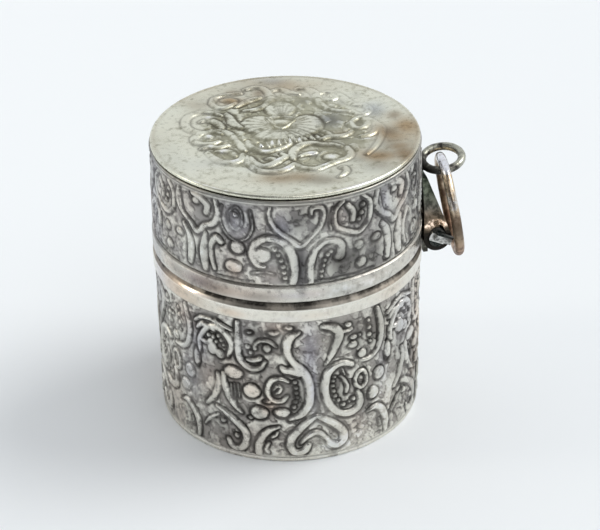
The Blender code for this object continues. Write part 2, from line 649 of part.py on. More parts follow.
# Jump ring: it hangs on the front of the eye's wire, leans out past the barrel and swings about
# the wire that it hangs on.
hang_local = eye_radius * Vector((-sin(HANG_ANGLE), -cos(HANG_ANGLE), 0))
hang_point = eye_centre + eye_turn.to_matrix() @ hang_local
past_barrel = HINGE.x + BARREL_RADIUS + RING_WIRE + RING_STANDOFF - hang_point.x
ring_lean = atan(past_barrel / (hang_point.z - HINGE.z))
ring_normal = Vector(
    (cos(ring_lean) * cos(RING_YAW), -cos(ring_lean) * sin(RING_YAW), sin(ring_lean))
)
down = Vector((0, 0, -1)) + ring_normal.z * ring_normal
ring_centre = hang_point + down.normalized() * (RING_RADIUS - link_reach)
ring_axis = pivot_at("ring_swing_axis", hang_point, lid_axis)
ring_mesh = torus_mesh("jump_ring", RING_RADIUS, RING_WIRE, RING_STEPS + 16)
ring = add_piece("jump_ring", ring_mesh, WARM, ring_axis, ring_centre)
ring.rotation_euler = ring_normal.to_track_quat("Z", "Y").to_euler()

# Make the solids plain meshes, smooth but for their edges
bpy.context.view_layer.update()
graph = bpy.context.evaluated_depsgraph_get()
pieces = [obj for obj in case.objects if obj.type == "MESH"]
solids = [bpy.data.meshes.new_from_object(obj.evaluated_get(graph)) for obj in pieces]
for obj, solid in zip(pieces, solids):
    obj.modifiers.clear()
    obj.data = solid
    solid.name = obj.name
    solid.shade_smooth()
    solid.set_sharp_from_angle(angle=SMOOTH_ANGLE)
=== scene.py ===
from functools import partial
from math import atan2, cos, degrees, pi, radians, sin, sqrt

import bmesh
import bpy
import numpy as np
from mathutils import Matrix, Vector


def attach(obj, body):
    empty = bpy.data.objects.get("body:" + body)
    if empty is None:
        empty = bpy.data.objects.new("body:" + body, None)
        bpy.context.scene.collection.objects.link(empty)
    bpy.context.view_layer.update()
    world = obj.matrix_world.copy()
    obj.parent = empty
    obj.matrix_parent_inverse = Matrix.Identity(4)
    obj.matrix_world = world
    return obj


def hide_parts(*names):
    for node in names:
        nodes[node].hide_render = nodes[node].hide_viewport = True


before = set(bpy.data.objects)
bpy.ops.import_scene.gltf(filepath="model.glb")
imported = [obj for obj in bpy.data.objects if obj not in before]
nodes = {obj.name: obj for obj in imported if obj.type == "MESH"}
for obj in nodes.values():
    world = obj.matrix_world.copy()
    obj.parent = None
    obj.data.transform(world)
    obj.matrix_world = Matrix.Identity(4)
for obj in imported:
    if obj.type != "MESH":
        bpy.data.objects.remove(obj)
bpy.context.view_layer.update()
scene = bpy.context.scene
MM = 0.001

# Camera: a long lens a little above the case, turned so that the hinge shows at the right-hand side,
# and rolled by a degree. The photograph's size in pixels is only used to read places off it.
PHOTO_WIDE = 600
PHOTO_HIGH = 530
CAMERA_TURN = radians(13.2)
CAMERA_RISE = radians(30.44)
CAMERA_ROLL = radians(-0.96)
CAMERA_REACH = 192.8 * MM
AIM_RIGHT = 1.219 * MM
AIM_HEIGHT = 14.607 * MM


def placed(name, data):
    """A new object in the scene."""
    obj = bpy.data.objects.new(name, data)
    scene.collection.objects.link(obj)
    return obj


ahead = Vector((sin(CAMERA_TURN) * cos(CAMERA_RISE), cos(CAMERA_TURN) * cos(CAMERA_RISE), -sin(CAMERA_RISE)))
across = Vector((cos(CAMERA_TURN), -sin(CAMERA_TURN), 0))
over = across.cross(ahead)
right = cos(CAMERA_ROLL) * across + sin(CAMERA_ROLL) * over
top = cos(CAMERA_ROLL) * over - sin(CAMERA_ROLL) * across
viewpoint = AIM_RIGHT * across + Vector((0, 0, AIM_HEIGHT)) - CAMERA_REACH * ahead
lens = bpy.data.cameras.new("camera")
lens.lens = 115.87
lens.sensor_width = 36
lens.sensor_fit = "HORIZONTAL"
lens.clip_start = 0.01
camera = placed("camera", lens)
camera.matrix_world = Matrix.Translation(viewpoint) @ Matrix((right, top, -ahead)).transposed().to_4x4()
scene.camera = camera
scene.view_settings.view_transform = "Standard"

# Body wall: silver sheet, chased from the outside with scrolls, hearts, berries and bead rows, the
# ground beaten down round them and left to darken. Its foot is soldered round the base disc.
WALL_INNER = 12.65
WALL_GROUND = 12.99
WALL_TOP = 16.2
FOOT_OUT = WALL_GROUND + 0.09
FOOT_ROUND = 0.2
RELIEF = 0.25
SKIN_DEPTH = 0.2
SHADOW_SHIFT = 0.08
REACH = 1.2
REPEAT = 90
SPIN_STEPS = 672
ROW_STEP = 0.118
WELD = 0.001 * MM
BUMP_DEPTH = 0.08 * MM
PAINTED = {"relief": 0.8, "groove": 0.0, "pool": 0.0, "shade": 0.0, "cool": 0.0, "warm": 0.0, "bright": 0.0}
COLOURS = {
    "rubbed": (0.80, 0.78, 0.70),
    "ground": (0.44, 0.415, 0.38),
    "dirt": (0.10, 0.095, 0.088),
    "deep": (0.02, 0.018, 0.016),
    "blue": (0.80, 0.81, 0.94),
    "brown": (1.0, 0.86, 0.80),
}


def finer(points, step=ROW_STEP):
    """A profile with points about a step apart."""
    fine = [points[0]]
    for (ax, ay), (bx, by) in zip(points, points[1:]):
        count = max(1, round(sqrt((bx - ax) ** 2 + (by - ay) ** 2) / step))
        fine += [(ax + (bx - ax) * i / count, ay + (by - ay) * i / count) for i in range(1, count + 1)]
    return fine


def bow(centre, radius, start, stop, steps):
    """Points of an arc in a profile, angles in degrees."""
    turns = [radians(start + (stop - start) * i / steps) for i in range(steps + 1)]
    return [(centre[0] + radius * cos(t), centre[1] + radius * sin(t)) for t in turns]


def spin(bm, profile, steps, angle=2 * pi, axis_x=0, closed=False):
    """Turns a profile of (across, up), in millimetres, about an upright axis."""
    points = [bm.verts.new((x * MM, 0, z * MM)) for x, z in profile]
    ends = points[1:] + (points[:1] if closed else [])
    edges = [bm.edges.new(pair) for pair in zip(points, ends)]
    centre = (axis_x * MM, 0, 0)
    bmesh.ops.spin(bm, geom=points + edges, cent=centre, axis=(0, 0, 1), angle=angle, steps=steps)


def finished(bm, name):
    """A smooth mesh from the modelled one."""
    mesh = bpy.data.meshes.new(name)
    bm.to_mesh(mesh)
    bm.free()
    mesh.shade_smooth()
    return mesh


def turned(name, profile, steps=SPIN_STEPS):
    """A mesh turned from a profile that runs down its outer side first. One sixteenth is spun and then
    doubled four times, which is quicker than a full spin."""
    bm = bmesh.new()
    sector = pi / 8
    spin(bm, profile, steps // 16, sector)
    for sectors in (1, 2, 4, 8):
        copy = bmesh.ops.duplicate(bm, geom=bm.verts[:] + bm.edges[:] + bm.faces[:])["geom"]
        moved = [item for item in copy if isinstance(item, bmesh.types.BMVert)]
        bmesh.ops.rotate(bm, verts=moved, cent=(0, 0, 0), matrix=Matrix.Rotation(sectors * sector, 3, "Z"))
    bmesh.ops.remove_doubles(bm, verts=bm.verts, dist=WELD)
    bmesh.ops.recalc_face_normals(bm, faces=bm.faces)
    return finished(bm, name)


def places(mesh):
    """The vertices' places in millimetres."""
    flat = np.empty(len(mesh.vertices) * 3)
    mesh.vertices.foreach_get("co", flat)
    return flat.reshape(-1, 3) / MM


def put(mesh, points):
    """Moves the vertices to places in millimetres."""
    mesh.vertices.foreach_set("co", (points * MM).ravel())
    mesh.update()


def paint(mesh, painted, some=slice(None), **start):
    """Stores numbers per vertex for the material, on some of the vertices. The rest get a start value."""
    for name, values in painted.items():
        full = np.full(len(mesh.vertices), start.get(name, PAINTED[name]))
        full[some] = values
        mesh.attributes.new(name, "FLOAT", "POINT").data.foreach_set("value", full.astype(np.float32))


def round_path(points, parts=7):
    """A drawn stroke's points (across, up, half width in hundredths of a millimetre) run through
    by a smooth curve."""
    p = np.array([points[0]] + list(points) + [points[-1]]) / (1, 1, 100)
    t = np.linspace(0, 1, parts, endpoint=False)[:, None]
    out = []
    for a, b, c, d in zip(p, p[1:], p[2:], p[3:]):
        bend = (2 * a - 5 * b + 4 * c - d) * t**2
        out.append(0.5 * (2 * b + (c - a) * t + bend + (3 * b - a - 3 * c + d) * t**3))
    return np.vstack(out + [p[-1:]])


def keep_nearer(nearest, share, near, gap, depth):
    """Takes over the gap and depth of a form wherever it is nearer than the forms before it."""
    closer = gap < nearest[near]
    nearest[near[closer]] = gap[closer]
    share[near[closer]] = depth[closer].clip(0, 1)


def stroke_distance(x, y, strokes, reach=REACH):
    """Signed distance from each place to the nearest edge of any stroke, negative inside, and how far
    in from the edge a place lies as a share of the stroke's half width."""
    nearest, share = np.full(x.shape, reach), np.zeros(x.shape)
    for points in strokes:
        path = round_path(points)
        for (ax, ay, aw), (bx, by, bw) in zip(path, path[1:]):
            dx, dy = bx - ax, by - ay
            wide = reach + max(aw, bw)
            near = abs(x - (ax + bx) / 2) < wide + abs(dx) / 2
            near = np.flatnonzero(near & (abs(y - (ay + by) / 2) < wide + abs(dy) / 2))
            t = ((x[near] - ax) * dx + (y[near] - ay) * dy) / max(dx * dx + dy * dy, 1e-9)
            t = t.clip(0, 1)
            half = aw + (bw - aw) * t
            gap = np.hypot(x[near] - ax - t * dx, y[near] - ay - t * dy) - half
            keep_nearer(nearest, share, near, gap, -gap / half)
    return nearest, share


def dome_distance(x, y, domes):
    """The same for oval domes given as (across, up, half width, half height if it differs), the halves
    in hundredths of a millimetre."""
    nearest, share = np.full(x.shape, REACH), np.zeros(x.shape)
    for cx, cy, *half in domes:
        rx, ry = half[0] / 100, half[-1] / 100
        near = np.flatnonzero((abs(x - cx) < rx + REACH) & (abs(y - cy) < ry + REACH))
        out = np.hypot((x[near] - cx) / rx, (y[near] - cy) / ry)
        keep_nearer(nearest, share, near, (out - 1) * min(rx, ry), 1 - out)
    return nearest, share


def smooth(low, high, value):
    """A soft step from 0 to 1."""
    t = ((value - low) / (high - low)).clip(0, 1)
    return t * t * (3 - 2 * t)


def bell(value, middle, half):
    """A soft bump, 1 in its middle."""
    return np.exp(-(((value - middle) / half) ** 2))


def wander(points, seed, size):
    """Slow random variation, mostly between -1 and 1, through places in millimetres."""
    draw = np.random.default_rng(seed)
    total = np.zeros(len(points))
    for _ in range(9):
        way = draw.normal(size=3)
        way *= draw.uniform(0.6, 1.7) / size / np.linalg.norm(way)
        total += np.sin(points @ way + draw.uniform(0, 2 * pi))
    return total / 3.4


def soft_spots(x, y, spots):
    """Patches with soft edges, each (across, up, half width, half height, strength)."""
    total = np.zeros(x.shape)
    for cx, cy, rx, ry, strength in spots:
        total = np.maximum(total, strength * np.exp(-(((x - cx) / rx) ** 2) - ((y - cy) / ry) ** 2))
    return total


def chase(x, y, strokes, domes):
    """A chased pattern: its height from 0 to 1, the dark line in the grooves along its edges, and the dirt
    that gathers near them."""
    gap, share = stroke_distance(x, y, strokes)
    dome_gap, dome_share = dome_distance(x, y, domes)
    band = smooth(0.06, -0.14, gap) * (0.84 + 0.16 * smooth(0, 0.8, share))
    button = smooth(0.06, -0.10, dome_gap) * (0.62 + 0.38 * np.sqrt(dome_share))
    either = np.minimum(gap, dome_gap)
    return np.maximum(band, button), bell(either, 0.12, 0.12), np.exp(-either.clip(0, None) / 0.25)


def view_ray(point, corner, zoom):
    """The way from the camera through a point (across, down) of a view that is enlarged from a corner
    of its own in the photograph."""
    across_px = corner[0] + point[0] / zoom - PHOTO_WIDE / 2
    down_px = corner[1] + point[1] / zoom - PHOTO_HIGH / 2
    return ahead + (across_px * right - down_px * top) * (lens.sensor_width / lens.lens / PHOTO_WIDE)


# The body's pattern, drawn over an enlarged view of its front: strokes of (across, down, half width)
# and domes of (across, down, half width, half height if it differs), the halves in hundredths of a
# millimetre
BODY_CORNER = (150, 290)
BODY_ZOOM = 4.985
BODY_STROKES = [
    [(742, 220, 20), (702, 240, 42), (683, 288, 40), (688, 330, 36), (712, 365, 34), (748, 398, 40),
     (782, 440, 44), (800, 490, 42), (802, 545, 40), (785, 595, 40), (750, 630, 36), (700, 648, 26)],
    [(654, 392, 18), (672, 408, 36), (702, 410, 42), (745, 425, 36)],
    [(690, 464, 16), (655, 450, 24), (615, 455, 28), (588, 485, 28), (590, 530, 28), (620, 560, 26),
     (660, 558, 24), (682, 536, 16)],
    [(616, 502, 14), (636, 484, 18), (654, 492, 18), (646, 514, 15), (628, 522, 12)],
    [(1012, 374, 28), (965, 368, 32), (920, 390, 36), (888, 430, 40), (877, 490, 40), (887, 550, 40),
     (918, 598, 38), (965, 620, 38), (1015, 610, 40), (1050, 575, 40), (1054, 535, 34), (1040, 505, 22)],
    [(955, 432, 10), (975, 452, 16), (990, 482, 20), (984, 515, 14)],
    [(962, 395, 10), (974, 425, 12)],
    [(1030, 445, 16), (1045, 412, 20), (1072, 402, 20), (1086, 430, 20), (1080, 468, 20), (1054, 488, 20),
     (1034, 470, 16), (1030, 445, 16)],
    [(835, 632, 26), (800, 655, 36), (760, 690, 38), (718, 735, 40), (700, 780, 40), (725, 815, 38),
     (770, 808, 38), (794, 778, 28)],
    [(835, 632, 26), (880, 650, 36), (930, 675, 40), (968, 705, 42), (974, 745, 40), (940, 774, 38),
     (905, 768, 34), (886, 742, 24)],
    [(756, 768, 14), (788, 736, 26), (830, 716, 32), (866, 728, 26), (884, 752, 16)],
    [(872, 186, 30), (922, 194, 42), (948, 222, 46), (940, 266, 42), (920, 312, 32), (900, 350, 20),
     (884, 376, 10)],
    [(964, 216, 14), (994, 206, 16), (1012, 196, 12)],
    [(1140, 92, 22), (1158, 150, 32), (1160, 215, 32), (1145, 280, 30), (1110, 330, 26), (1066, 352, 20)],
    [(1200, 140, 16), (1222, 100, 26), (1262, 76, 26)],
    [(1206, 186, 16), (1232, 176, 26), (1252, 140, 20)],
    [(1094, 608, 12), (1130, 582, 32), (1168, 596, 38), (1184, 640, 32), (1180, 692, 26)],
    [(1150, 640, 8), (1156, 672, 12)],
    [(1284, 330, 16), (1268, 400, 30), (1240, 470, 30), (1214, 540, 26), (1214, 602, 16)],
    [(430, 165, 24), (432, 222, 32), (432, 282, 34), (440, 335, 34), (465, 374, 34), (505, 400, 30),
     (550, 394, 26), (572, 366, 18)],
    [(320, 152, 14), (352, 178, 22), (398, 204, 18)],
    [(515, 286, 12), (545, 262, 20), (590, 262, 22), (628, 290, 14)],
    [(480, 352, 12), (510, 358, 24), (546, 348, 28)],
    [(246, 302, 18), (238, 250, 24), (260, 205, 28), (300, 186, 30), (345, 200, 32), (380, 236, 34),
     (400, 282, 32), (384, 332, 20)],
    [(216, 150, 16), (250, 140, 20), (300, 150, 20), (330, 172, 16)],
    [(332, 418, 18), (336, 470, 32), (316, 530, 32), (280, 562, 20)],
    [(360, 418, 22), (370, 480, 38), (396, 546, 36), (440, 600, 24), (458, 616, 12)],
    [(400, 472, 7), (402, 548, 7)],
    [(418, 470, 7), (422, 556, 7)],
    [(436, 474, 7), (442, 540, 7)],
    [(330, 580, 22), (285, 610, 26), (250, 640, 26), (245, 690, 26), (272, 722, 24)],
    [(330, 580, 22), (370, 610, 32), (420, 655, 38), (465, 700, 40), (480, 750, 40), (455, 790, 36),
     (410, 780, 32), (388, 744, 24)],
    [(270, 664, 12), (300, 640, 18), (335, 622, 12)],
    [(540, 832, 36), (540, 782, 38), (560, 736, 38), (600, 702, 30), (642, 690, 16)],
    [(604, 742, 10), (628, 730, 16), (636, 716, 10)],
    [(592, 768, 12), (576, 800, 18), (592, 818, 12)],
]
BODY_DOMES = [
    (660, 618, 74, 50), (692, 196, 36, 20), (722, 466, 19), (728, 494, 19), (730, 520, 19), (737, 543, 15),
    (728, 566, 19), (720, 590, 22, 20), (505, 508, 86, 80), (412, 414, 98, 70), (545, 616, 88, 74),
    (588, 562, 34, 20), (926, 438, 13), (918, 460, 15), (917, 484, 16), (923, 508, 17), (932, 531, 18),
    (946, 553, 18), (970, 573, 22, 20), (998, 560, 13), (1020, 545, 20, 26), (994, 178, 34, 28),
    (1020, 238, 40, 26), (1018, 276, 46, 38), (1050, 226, 17), (1093, 155, 24), (1098, 188, 25),
    (1102, 222, 23), (1105, 255, 18), (1063, 318, 52, 46), (1192, 296, 42, 95), (1150, 412, 66, 74),
    (1120, 512, 66, 70), (492, 215, 26, 18), (484, 290, 25), (500, 318, 22), (520, 298, 20),
    (580, 300, 38, 40), (616, 222, 50, 30), (285, 228, 21, 20), (310, 240, 21, 20), (335, 234, 19, 18),
    (350, 256, 20), (292, 252, 18), (326, 262, 18), (362, 278, 17), (306, 292, 60, 72), (346, 322, 50),
    (360, 650, 32), (432, 730, 30, 28), (246, 490, 40, 80), (500, 640, 20, 14),
]
# Patches of the body's skin, as (degrees round, height, half width, half height, strength)
BODY_SHADE = [
    (-14, 14.6, 3.5, 1.1, 0.9), (12, 2.6, 1.6, 0.9, 0.5), (-10, 13.6, 8, 1.6, 0.5), (-14, 10.8, 5, 1, 0.5),
    (3, 7.8, 3.6, 2, 1.1), (12.5, 7.5, 2.2, 3.5, 0.75), (20, 13.6, 5, 1.6, 0.5), (31, 13.5, 4, 2, 0.6),
    (40, 13.4, 4, 2.5, 0.6), (34, 5, 3.5, 2.2, 0.6), (21, 8, 4, 2.2, 0.6), (-12, 5, 3, 2.6, 0.35),
    (-31, 10.5, 3.5, 2, 0.5), (-30, 3, 3, 1.6, 0.55), (-23, 2.2, 3, 0.9, 0.6), (4, 2.3, 2.4, 1.2, 0.6),
    (20, 2.4, 2.4, 1, 0.5), (9, 12.6, 3.4, 2.4, 0.25), (55, 8, 4, 6, 0.4),
]
BODY_COOL = [
    (9, 12.6, 4, 3.2, 1), (10.5, 9, 1.8, 3.2, 0.9), (-42, 12, 7, 2.5, 0.8), (-48, 8, 6, 3, 0.6),
    (44, 8.6, 4, 2.6, 0.5), (-19, 13, 4, 2.4, 0.4), (60, 13, 8, 4, 0.6),
]
BODY_WARM = [
    (-8.5, 6.6, 4, 1, 1), (-24, 10, 7, 1.5, 0.6), (-16, 8.2, 5, 1, 0.6), (-35, 8.4, 7, 2, 0.5),
    (-50, 14.5, 8, 1.5, 0.6), (-5, 15.4, 6, 0.8, 0.7), (30, 3, 8, 1.6, 0.4), (-60, 5, 8, 4, 0.3),
]
# Lighter patches: polish, and painted highlights where light catches the wall.
BODY_POLISH_AND_HIGHLIGHT = [
    (9, 8.6, 2.2, 4, 0.35), (17, 10.5, 2.2, 3.5, 0.3), (44, 4.5, 8, 4, 0.5), (-52, 8, 10, 8, 0.2),
    (56, 12, 8, 4, 0.3), (24, 1.6, 18, 1.2, 0.7), (34, 3.5, 5, 1.6, 0.6), (-8, 1, 9, 0.7, 0.4),
    (7, 4.4, 12, 0.8, 0.3), (-2, 14, 3, 2, 0.3), (12, 5.5, 14, 5, 0.3),
]


def on_body(point):
    """Where the body's wall shows at a point of its view: degrees round from the front, and height,
    with what else the point carries."""
    ray = view_ray(point, BODY_CORNER, BODY_ZOOM)
    start = viewpoint / MM
    a, b = ray.xy.dot(ray.xy), start.xy.dot(ray.xy)
    c = start.xy.dot(start.xy) - (WALL_GROUND + RELIEF) ** 2
    spot = start + (-b - sqrt(max(b * b - a * c, 0))) / a * ray
    return (degrees(atan2(spot.y, spot.x) + pi / 2 + CAMERA_TURN), spot.z, *point[2:])


def front_angle(points):
    """Degrees round the drum from where the camera looks, growing to the right."""
    turn = np.degrees(np.arctan2(points[:, 1], points[:, 0])) + 90 + np.degrees(CAMERA_TURN)
    return (turn + 180) % 360 - 180


def repeated(items, place, middle, per_degree):
    """The items whose middles lie in one repeat of the pattern, in millimetres across, with what
    reaches over either end of it."""
    out = []
    for item in items:
        one = isinstance(item, tuple)
        points = [place(point) for point in ([item] if one else item)]
        if abs(sum(p[0] for p in points) / len(points) - middle) > REPEAT / 2:
            continue
        for shift in (-REPEAT, 0, REPEAT):
            moved = [((p[0] + shift) * per_degree, *p[1:]) for p in points]
            if any(abs(p[0] / per_degree - middle) < REPEAT / 2 + 8 for p in moved):
                out.append(moved[0] if one else moved)
    return out


def emboss(mesh, strokes, domes, place, middle, low, high, ground, depth, patches, lines):
    """Raises a repeating pattern on a turned wall between two heights and paints its wear: flattened and
    dulled towards the left, where the case has been rubbed most. Its patches darken, tint and lighten the
    skin, the lighter ones as polish with painted highlights, and its dark edge lines get a painted shadow
    on the lower left of each form. Place carries a drawn point to the wall, and lines are dark rings, each
    (height, half width, strength)."""
    points = places(mesh)
    radius = np.hypot(points[:, 0], points[:, 1])
    outer = np.flatnonzero(radius > ground - SKIN_DEPTH)
    skin = points[outer]
    per_degree = radians(ground + SKIN_DEPTH)
    angle = front_angle(skin)
    up = skin[:, 2]
    within = (angle - middle + REPEAT / 2) % REPEAT - REPEAT / 2 + middle
    x = within * per_degree + 0.03 * wander(skin, 13, 0.4)
    y = up + 0.03 * wander(skin, 14, 0.4)
    strokes, domes = (repeated(items, place, middle, per_degree) for items in (strokes, domes))
    raised, groove, pool = chase(x, y, strokes, domes)
    # The dark edge line is laid again a little lower and to the left of each form: a painted shadow on the
    # forms' shaded side.
    shaded = chase(x + SHADOW_SHIFT, y + SHADOW_SHIFT, strokes, domes)[1]
    groove = 0.25 * groove + 0.85 * shaded * (1 - raised)
    free = smooth(0.62, 0.3, pool)
    leafy = wander(skin * (1, 1, 0.75), 10, 0.30) + 0.5 * wander(skin, 11, 0.16)
    raised = np.maximum(raised, 0.55 * free * smooth(-0.1, 0.25, leafy))
    groove = np.maximum(groove, 0.85 * free * bell(leafy, -0.12, 0.13))
    edge = smooth(low, low + 0.3, up) * smooth(high, high - 0.25, up)
    rubbed = smooth(-38, -56, angle) * smooth(-175, -120, angle)
    worn = (0.5 * rubbed + 0.3 * smooth(0.1, 0.9, wander(skin, 21, 1.8))).clip(0, 1)
    raised = raised * edge * (0.93 + 0.07 * wander(skin, 5, 3)) * (1 - 0.35 * worn)
    groove = groove * edge * (1 - 0.45 * worn) * (0.8 + 0.35 * wander(skin, 9, 0.8)).clip(0, 1)
    beaten = 0.08 * wander(skin, 6, 0.3) + 0.10 * wander(skin, 7, 0.9)
    dents = 0.07 * wander(skin, 8, 0.36)
    relief = raised * (1 + dents) + (1 - raised) * beaten * edge - 0.30 * groove * (1 - raised)
    points[outer, :2] *= (1 + depth * relief / radius[outer])[:, None]
    put(mesh, points)
    far = 1 - smooth(-75, -60, angle) * smooth(75, 60, angle)
    shade, cool, warm, bright = (soft_spots(angle, up, spots) for spots in patches)
    shade = shade + far * 0.5 * smooth(0.1, 0.9, wander(skin, 31, 1.6))
    cool = cool + far * 0.6 * smooth(0.2, 0.9, wander(skin, 32, 3.0))
    warm = warm + far * 0.6 * smooth(0.2, 0.9, wander(skin, 33, 2.6))
    for height, half, strength in lines:
        groove = np.maximum(groove, strength * bell(up, height, half))
    painted = {
        "relief": (raised + 0.5 * worn * (1 - raised)) * edge + 0.85 * (1 - edge),
        "groove": groove,
        "pool": pool * edge * (1 - 0.4 * worn),
        "shade": shade,
        "cool": cool + 0.12 * smooth(0.2, 1.0, wander(skin, 34, 2.2)),
        "warm": warm + 0.2 * smooth(0.2, 1.0, wander(skin, 35, 1.8)),
        "bright": bright,
    }
    paint(mesh, painted, outer)


def feed(made, values):
    """Sets a node's sockets, by name or number: another socket is linked, and a colour gets its alpha."""
    for key, value in values.items():
        if isinstance(value, bpy.types.NodeSocket):
            made.id_data.links.new(value, made.inputs[key])
        else:
            made.inputs[key].default_value = (*value, 1) if isinstance(value, tuple) else value


def node(tree, kind, values=None, **settings):
    """A shader node with its settings and its sockets set."""
    made = tree.nodes.new(kind)
    for key, value in settings.items():
        setattr(made, key, value)
    feed(made, values or {})
    return made


def math(operation, first, second=0.0, clamp=False):
    """One step of arithmetic on values, in the tree of the one that is a socket."""
    tree = (first if isinstance(first, bpy.types.NodeSocket) else second).id_data
    settings = {"operation": operation, "use_clamp": clamp}
    return node(tree, "ShaderNodeMath", {0: first, 1: second}, **settings).outputs[0]


times, plus, minus = (partial(math, operation) for operation in ("MULTIPLY", "ADD", "SUBTRACT"))


def blend(tree, factor, first, second, kind="MIX"):
    """Two colours mixed."""
    settings = {"data_type": "RGBA", "blend_type": kind, "clamp_factor": True}
    return node(tree, "ShaderNodeMix", {0: factor, 6: first, 7: second}, **settings).outputs[2]


def ramp(value, low, high, start=0.0, end=1.0):
    """A value carried smoothly from one range to another."""
    sockets = {"Value": value, "From Min": low, "From Max": high, "To Min": start, "To Max": end}
    return node(value.id_data, "ShaderNodeMapRange", sockets, interpolation_type="SMOOTHSTEP").outputs[0]


def noise(place, scale, detail, rough):
    """Soft random variation at a scale per metre."""
    sockets = {"Vector": place, "Scale": scale, "Detail": detail, "Roughness": rough}
    return node(place.id_data, "ShaderNodeTexNoise", sockets).outputs[0]


def patina_group():
    """Old silver: pale where it is rubbed and where highlights are painted, greyer on the ground, dark where
    dirt has gathered and where shade is painted, near black in the grooves and in painted shadows, stained
    warm and cool in patches and mottled all over."""
    group = bpy.data.node_groups.new("silver_patina", "ShaderNodeTree")
    face = group.interface
    for name, start in PAINTED.items():
        face.new_socket(name=name, in_out="INPUT", socket_type="NodeSocketFloat").default_value = start
    for name, start in COLOURS.items():
        face.new_socket(name=name, in_out="INPUT", socket_type="NodeSocketColor").default_value = (*start, 1)
    face.new_socket(name="mottle", in_out="INPUT", socket_type="NodeSocketFloat").default_value = 1.0
    for name, kind in (("colour", "Color"), ("roughness", "Float"), ("height", "Float")):
        face.new_socket(name=name, in_out="OUTPUT", socket_type="NodeSocket" + kind)
    given = group.nodes.new("NodeGroupInput").outputs
    relief, groove, dirt_and_shade, dark, bluish, brownish, bright = (given[name] for name in PAINTED)
    rubbed, ground, dirt, deep, blue, brown = (given[name] for name in COLOURS)
    place = group.nodes.new("ShaderNodeTexCoord").outputs["Object"]
    slow = noise(place, 170, 3, 0.55)
    cloud = noise(place, 520, 5, 0.6)
    fleck = noise(place, 1500, 4, 0.65)
    grain = noise(place, 4200, 2, 0.6)
    uneven = times(minus(cloud, 0.5), given["mottle"])
    spotty = times(minus(fleck, 0.5), given["mottle"])
    rub = plus(times(uneven, 1.3), times(spotty, 2.0))
    rub = plus(rub, times(relief, 0.78))
    rub = plus(rub, times(bright, 0.6))
    # Dirt near the forms, and on the lid's face painted shade in the recesses, darken the ground.
    pool = times(dirt_and_shade, plus(times(uneven, 1.6), 1.0), clamp=True)
    pool = times(pool, minus(1.0, times(bright, 0.7)), clamp=True)
    low = blend(group, pool, ground, dirt)
    colour = blend(group, ramp(rub, 0.0, 0.75), low, rubbed)
    # Polish and painted highlights, with the raised forms, lift the colour towards pale silver.
    lit = plus(bright, times(relief, 0.35))
    worn = ramp(plus(lit, times(spotty, 2.0)), 0.55, 1.1)
    colour = blend(group, worn, colour, (0.93, 0.93, 0.90))
    cool = plus(bluish, times(minus(slow, 0.5), 0.35), clamp=True)
    warm = plus(brownish, times(minus(0.5, slow), 0.5), clamp=True)
    colour = blend(group, cool, colour, blend(group, 1.0, colour, blue, "MULTIPLY"))
    colour = blend(group, warm, colour, blend(group, 1.0, colour, brown, "MULTIPLY"))
    shade = times(dark, plus(times(spotty, 1.8), 0.85), clamp=True)
    colour = blend(group, times(shade, 0.8), colour, deep)
    broken = ramp(plus(cloud, spotty), 0.25, 0.6, 0.45, 1.0)
    colour = blend(group, times(groove, broken, clamp=True), colour, deep)
    dusky = ramp(spotty, -0.16, 0.0, 0.80, 1.0)
    grey = node(group, "ShaderNodeCombineColor", {0: dusky, 1: dusky, 2: dusky}).outputs[0]
    colour = blend(group, 1.0, colour, grey, "MULTIPLY")
    shine = plus(ramp(rub, 0.1, 0.8, 0.46, 0.27), times(uneven, 0.35))
    shine = minus(shine, times(bright, 0.18))
    shine = plus(shine, times(groove, 0.2), clamp=True)
    rise = plus(times(grain, 0.25), times(fleck, 0.75))
    node(group, "NodeGroupOutput", {"colour": colour, "roughness": shine, "height": rise})
    return group


PATINA = patina_group()


def material(name):
    """A new material and its shader."""
    mat = bpy.data.materials.new(name)
    mat.use_nodes = True
    return mat, mat.node_tree.nodes["Principled BSDF"]


def old_silver(name, bump, painted=True, **given):
    """A silver finish, which reads the wear, painted highlights and painted shade stored on its piece. Given
    are the group's sockets.
    """
    mat, shader = material(name)
    tree = mat.node_tree
    if painted:
        for key in PAINTED:
            given[key] = node(tree, "ShaderNodeAttribute", attribute_name=key).outputs["Fac"]
    aged = node(tree, "ShaderNodeGroup", given, node_tree=PATINA).outputs
    rough = node(tree, "ShaderNodeBump", {"Height": aged["height"], "Strength": bump, "Distance": BUMP_DEPTH})
    feed(shader, {"Metallic": 1, "Base Color": aged["colour"], "Roughness": aged["roughness"]})
    feed(shader, {"Normal": rough.outputs[0]})
    return mat


def dress(mesh, mat):
    """Gives a mesh one material."""
    mesh.materials.clear()
    mesh.materials.append(mat)


def piece(name, mesh, mat, body, slot, *replaced):
    """A finished piece of the case, riding on its body."""
    obj = placed(name, mesh)
    dress(mesh, mat)
    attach(obj, body)
    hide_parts(*replaced)


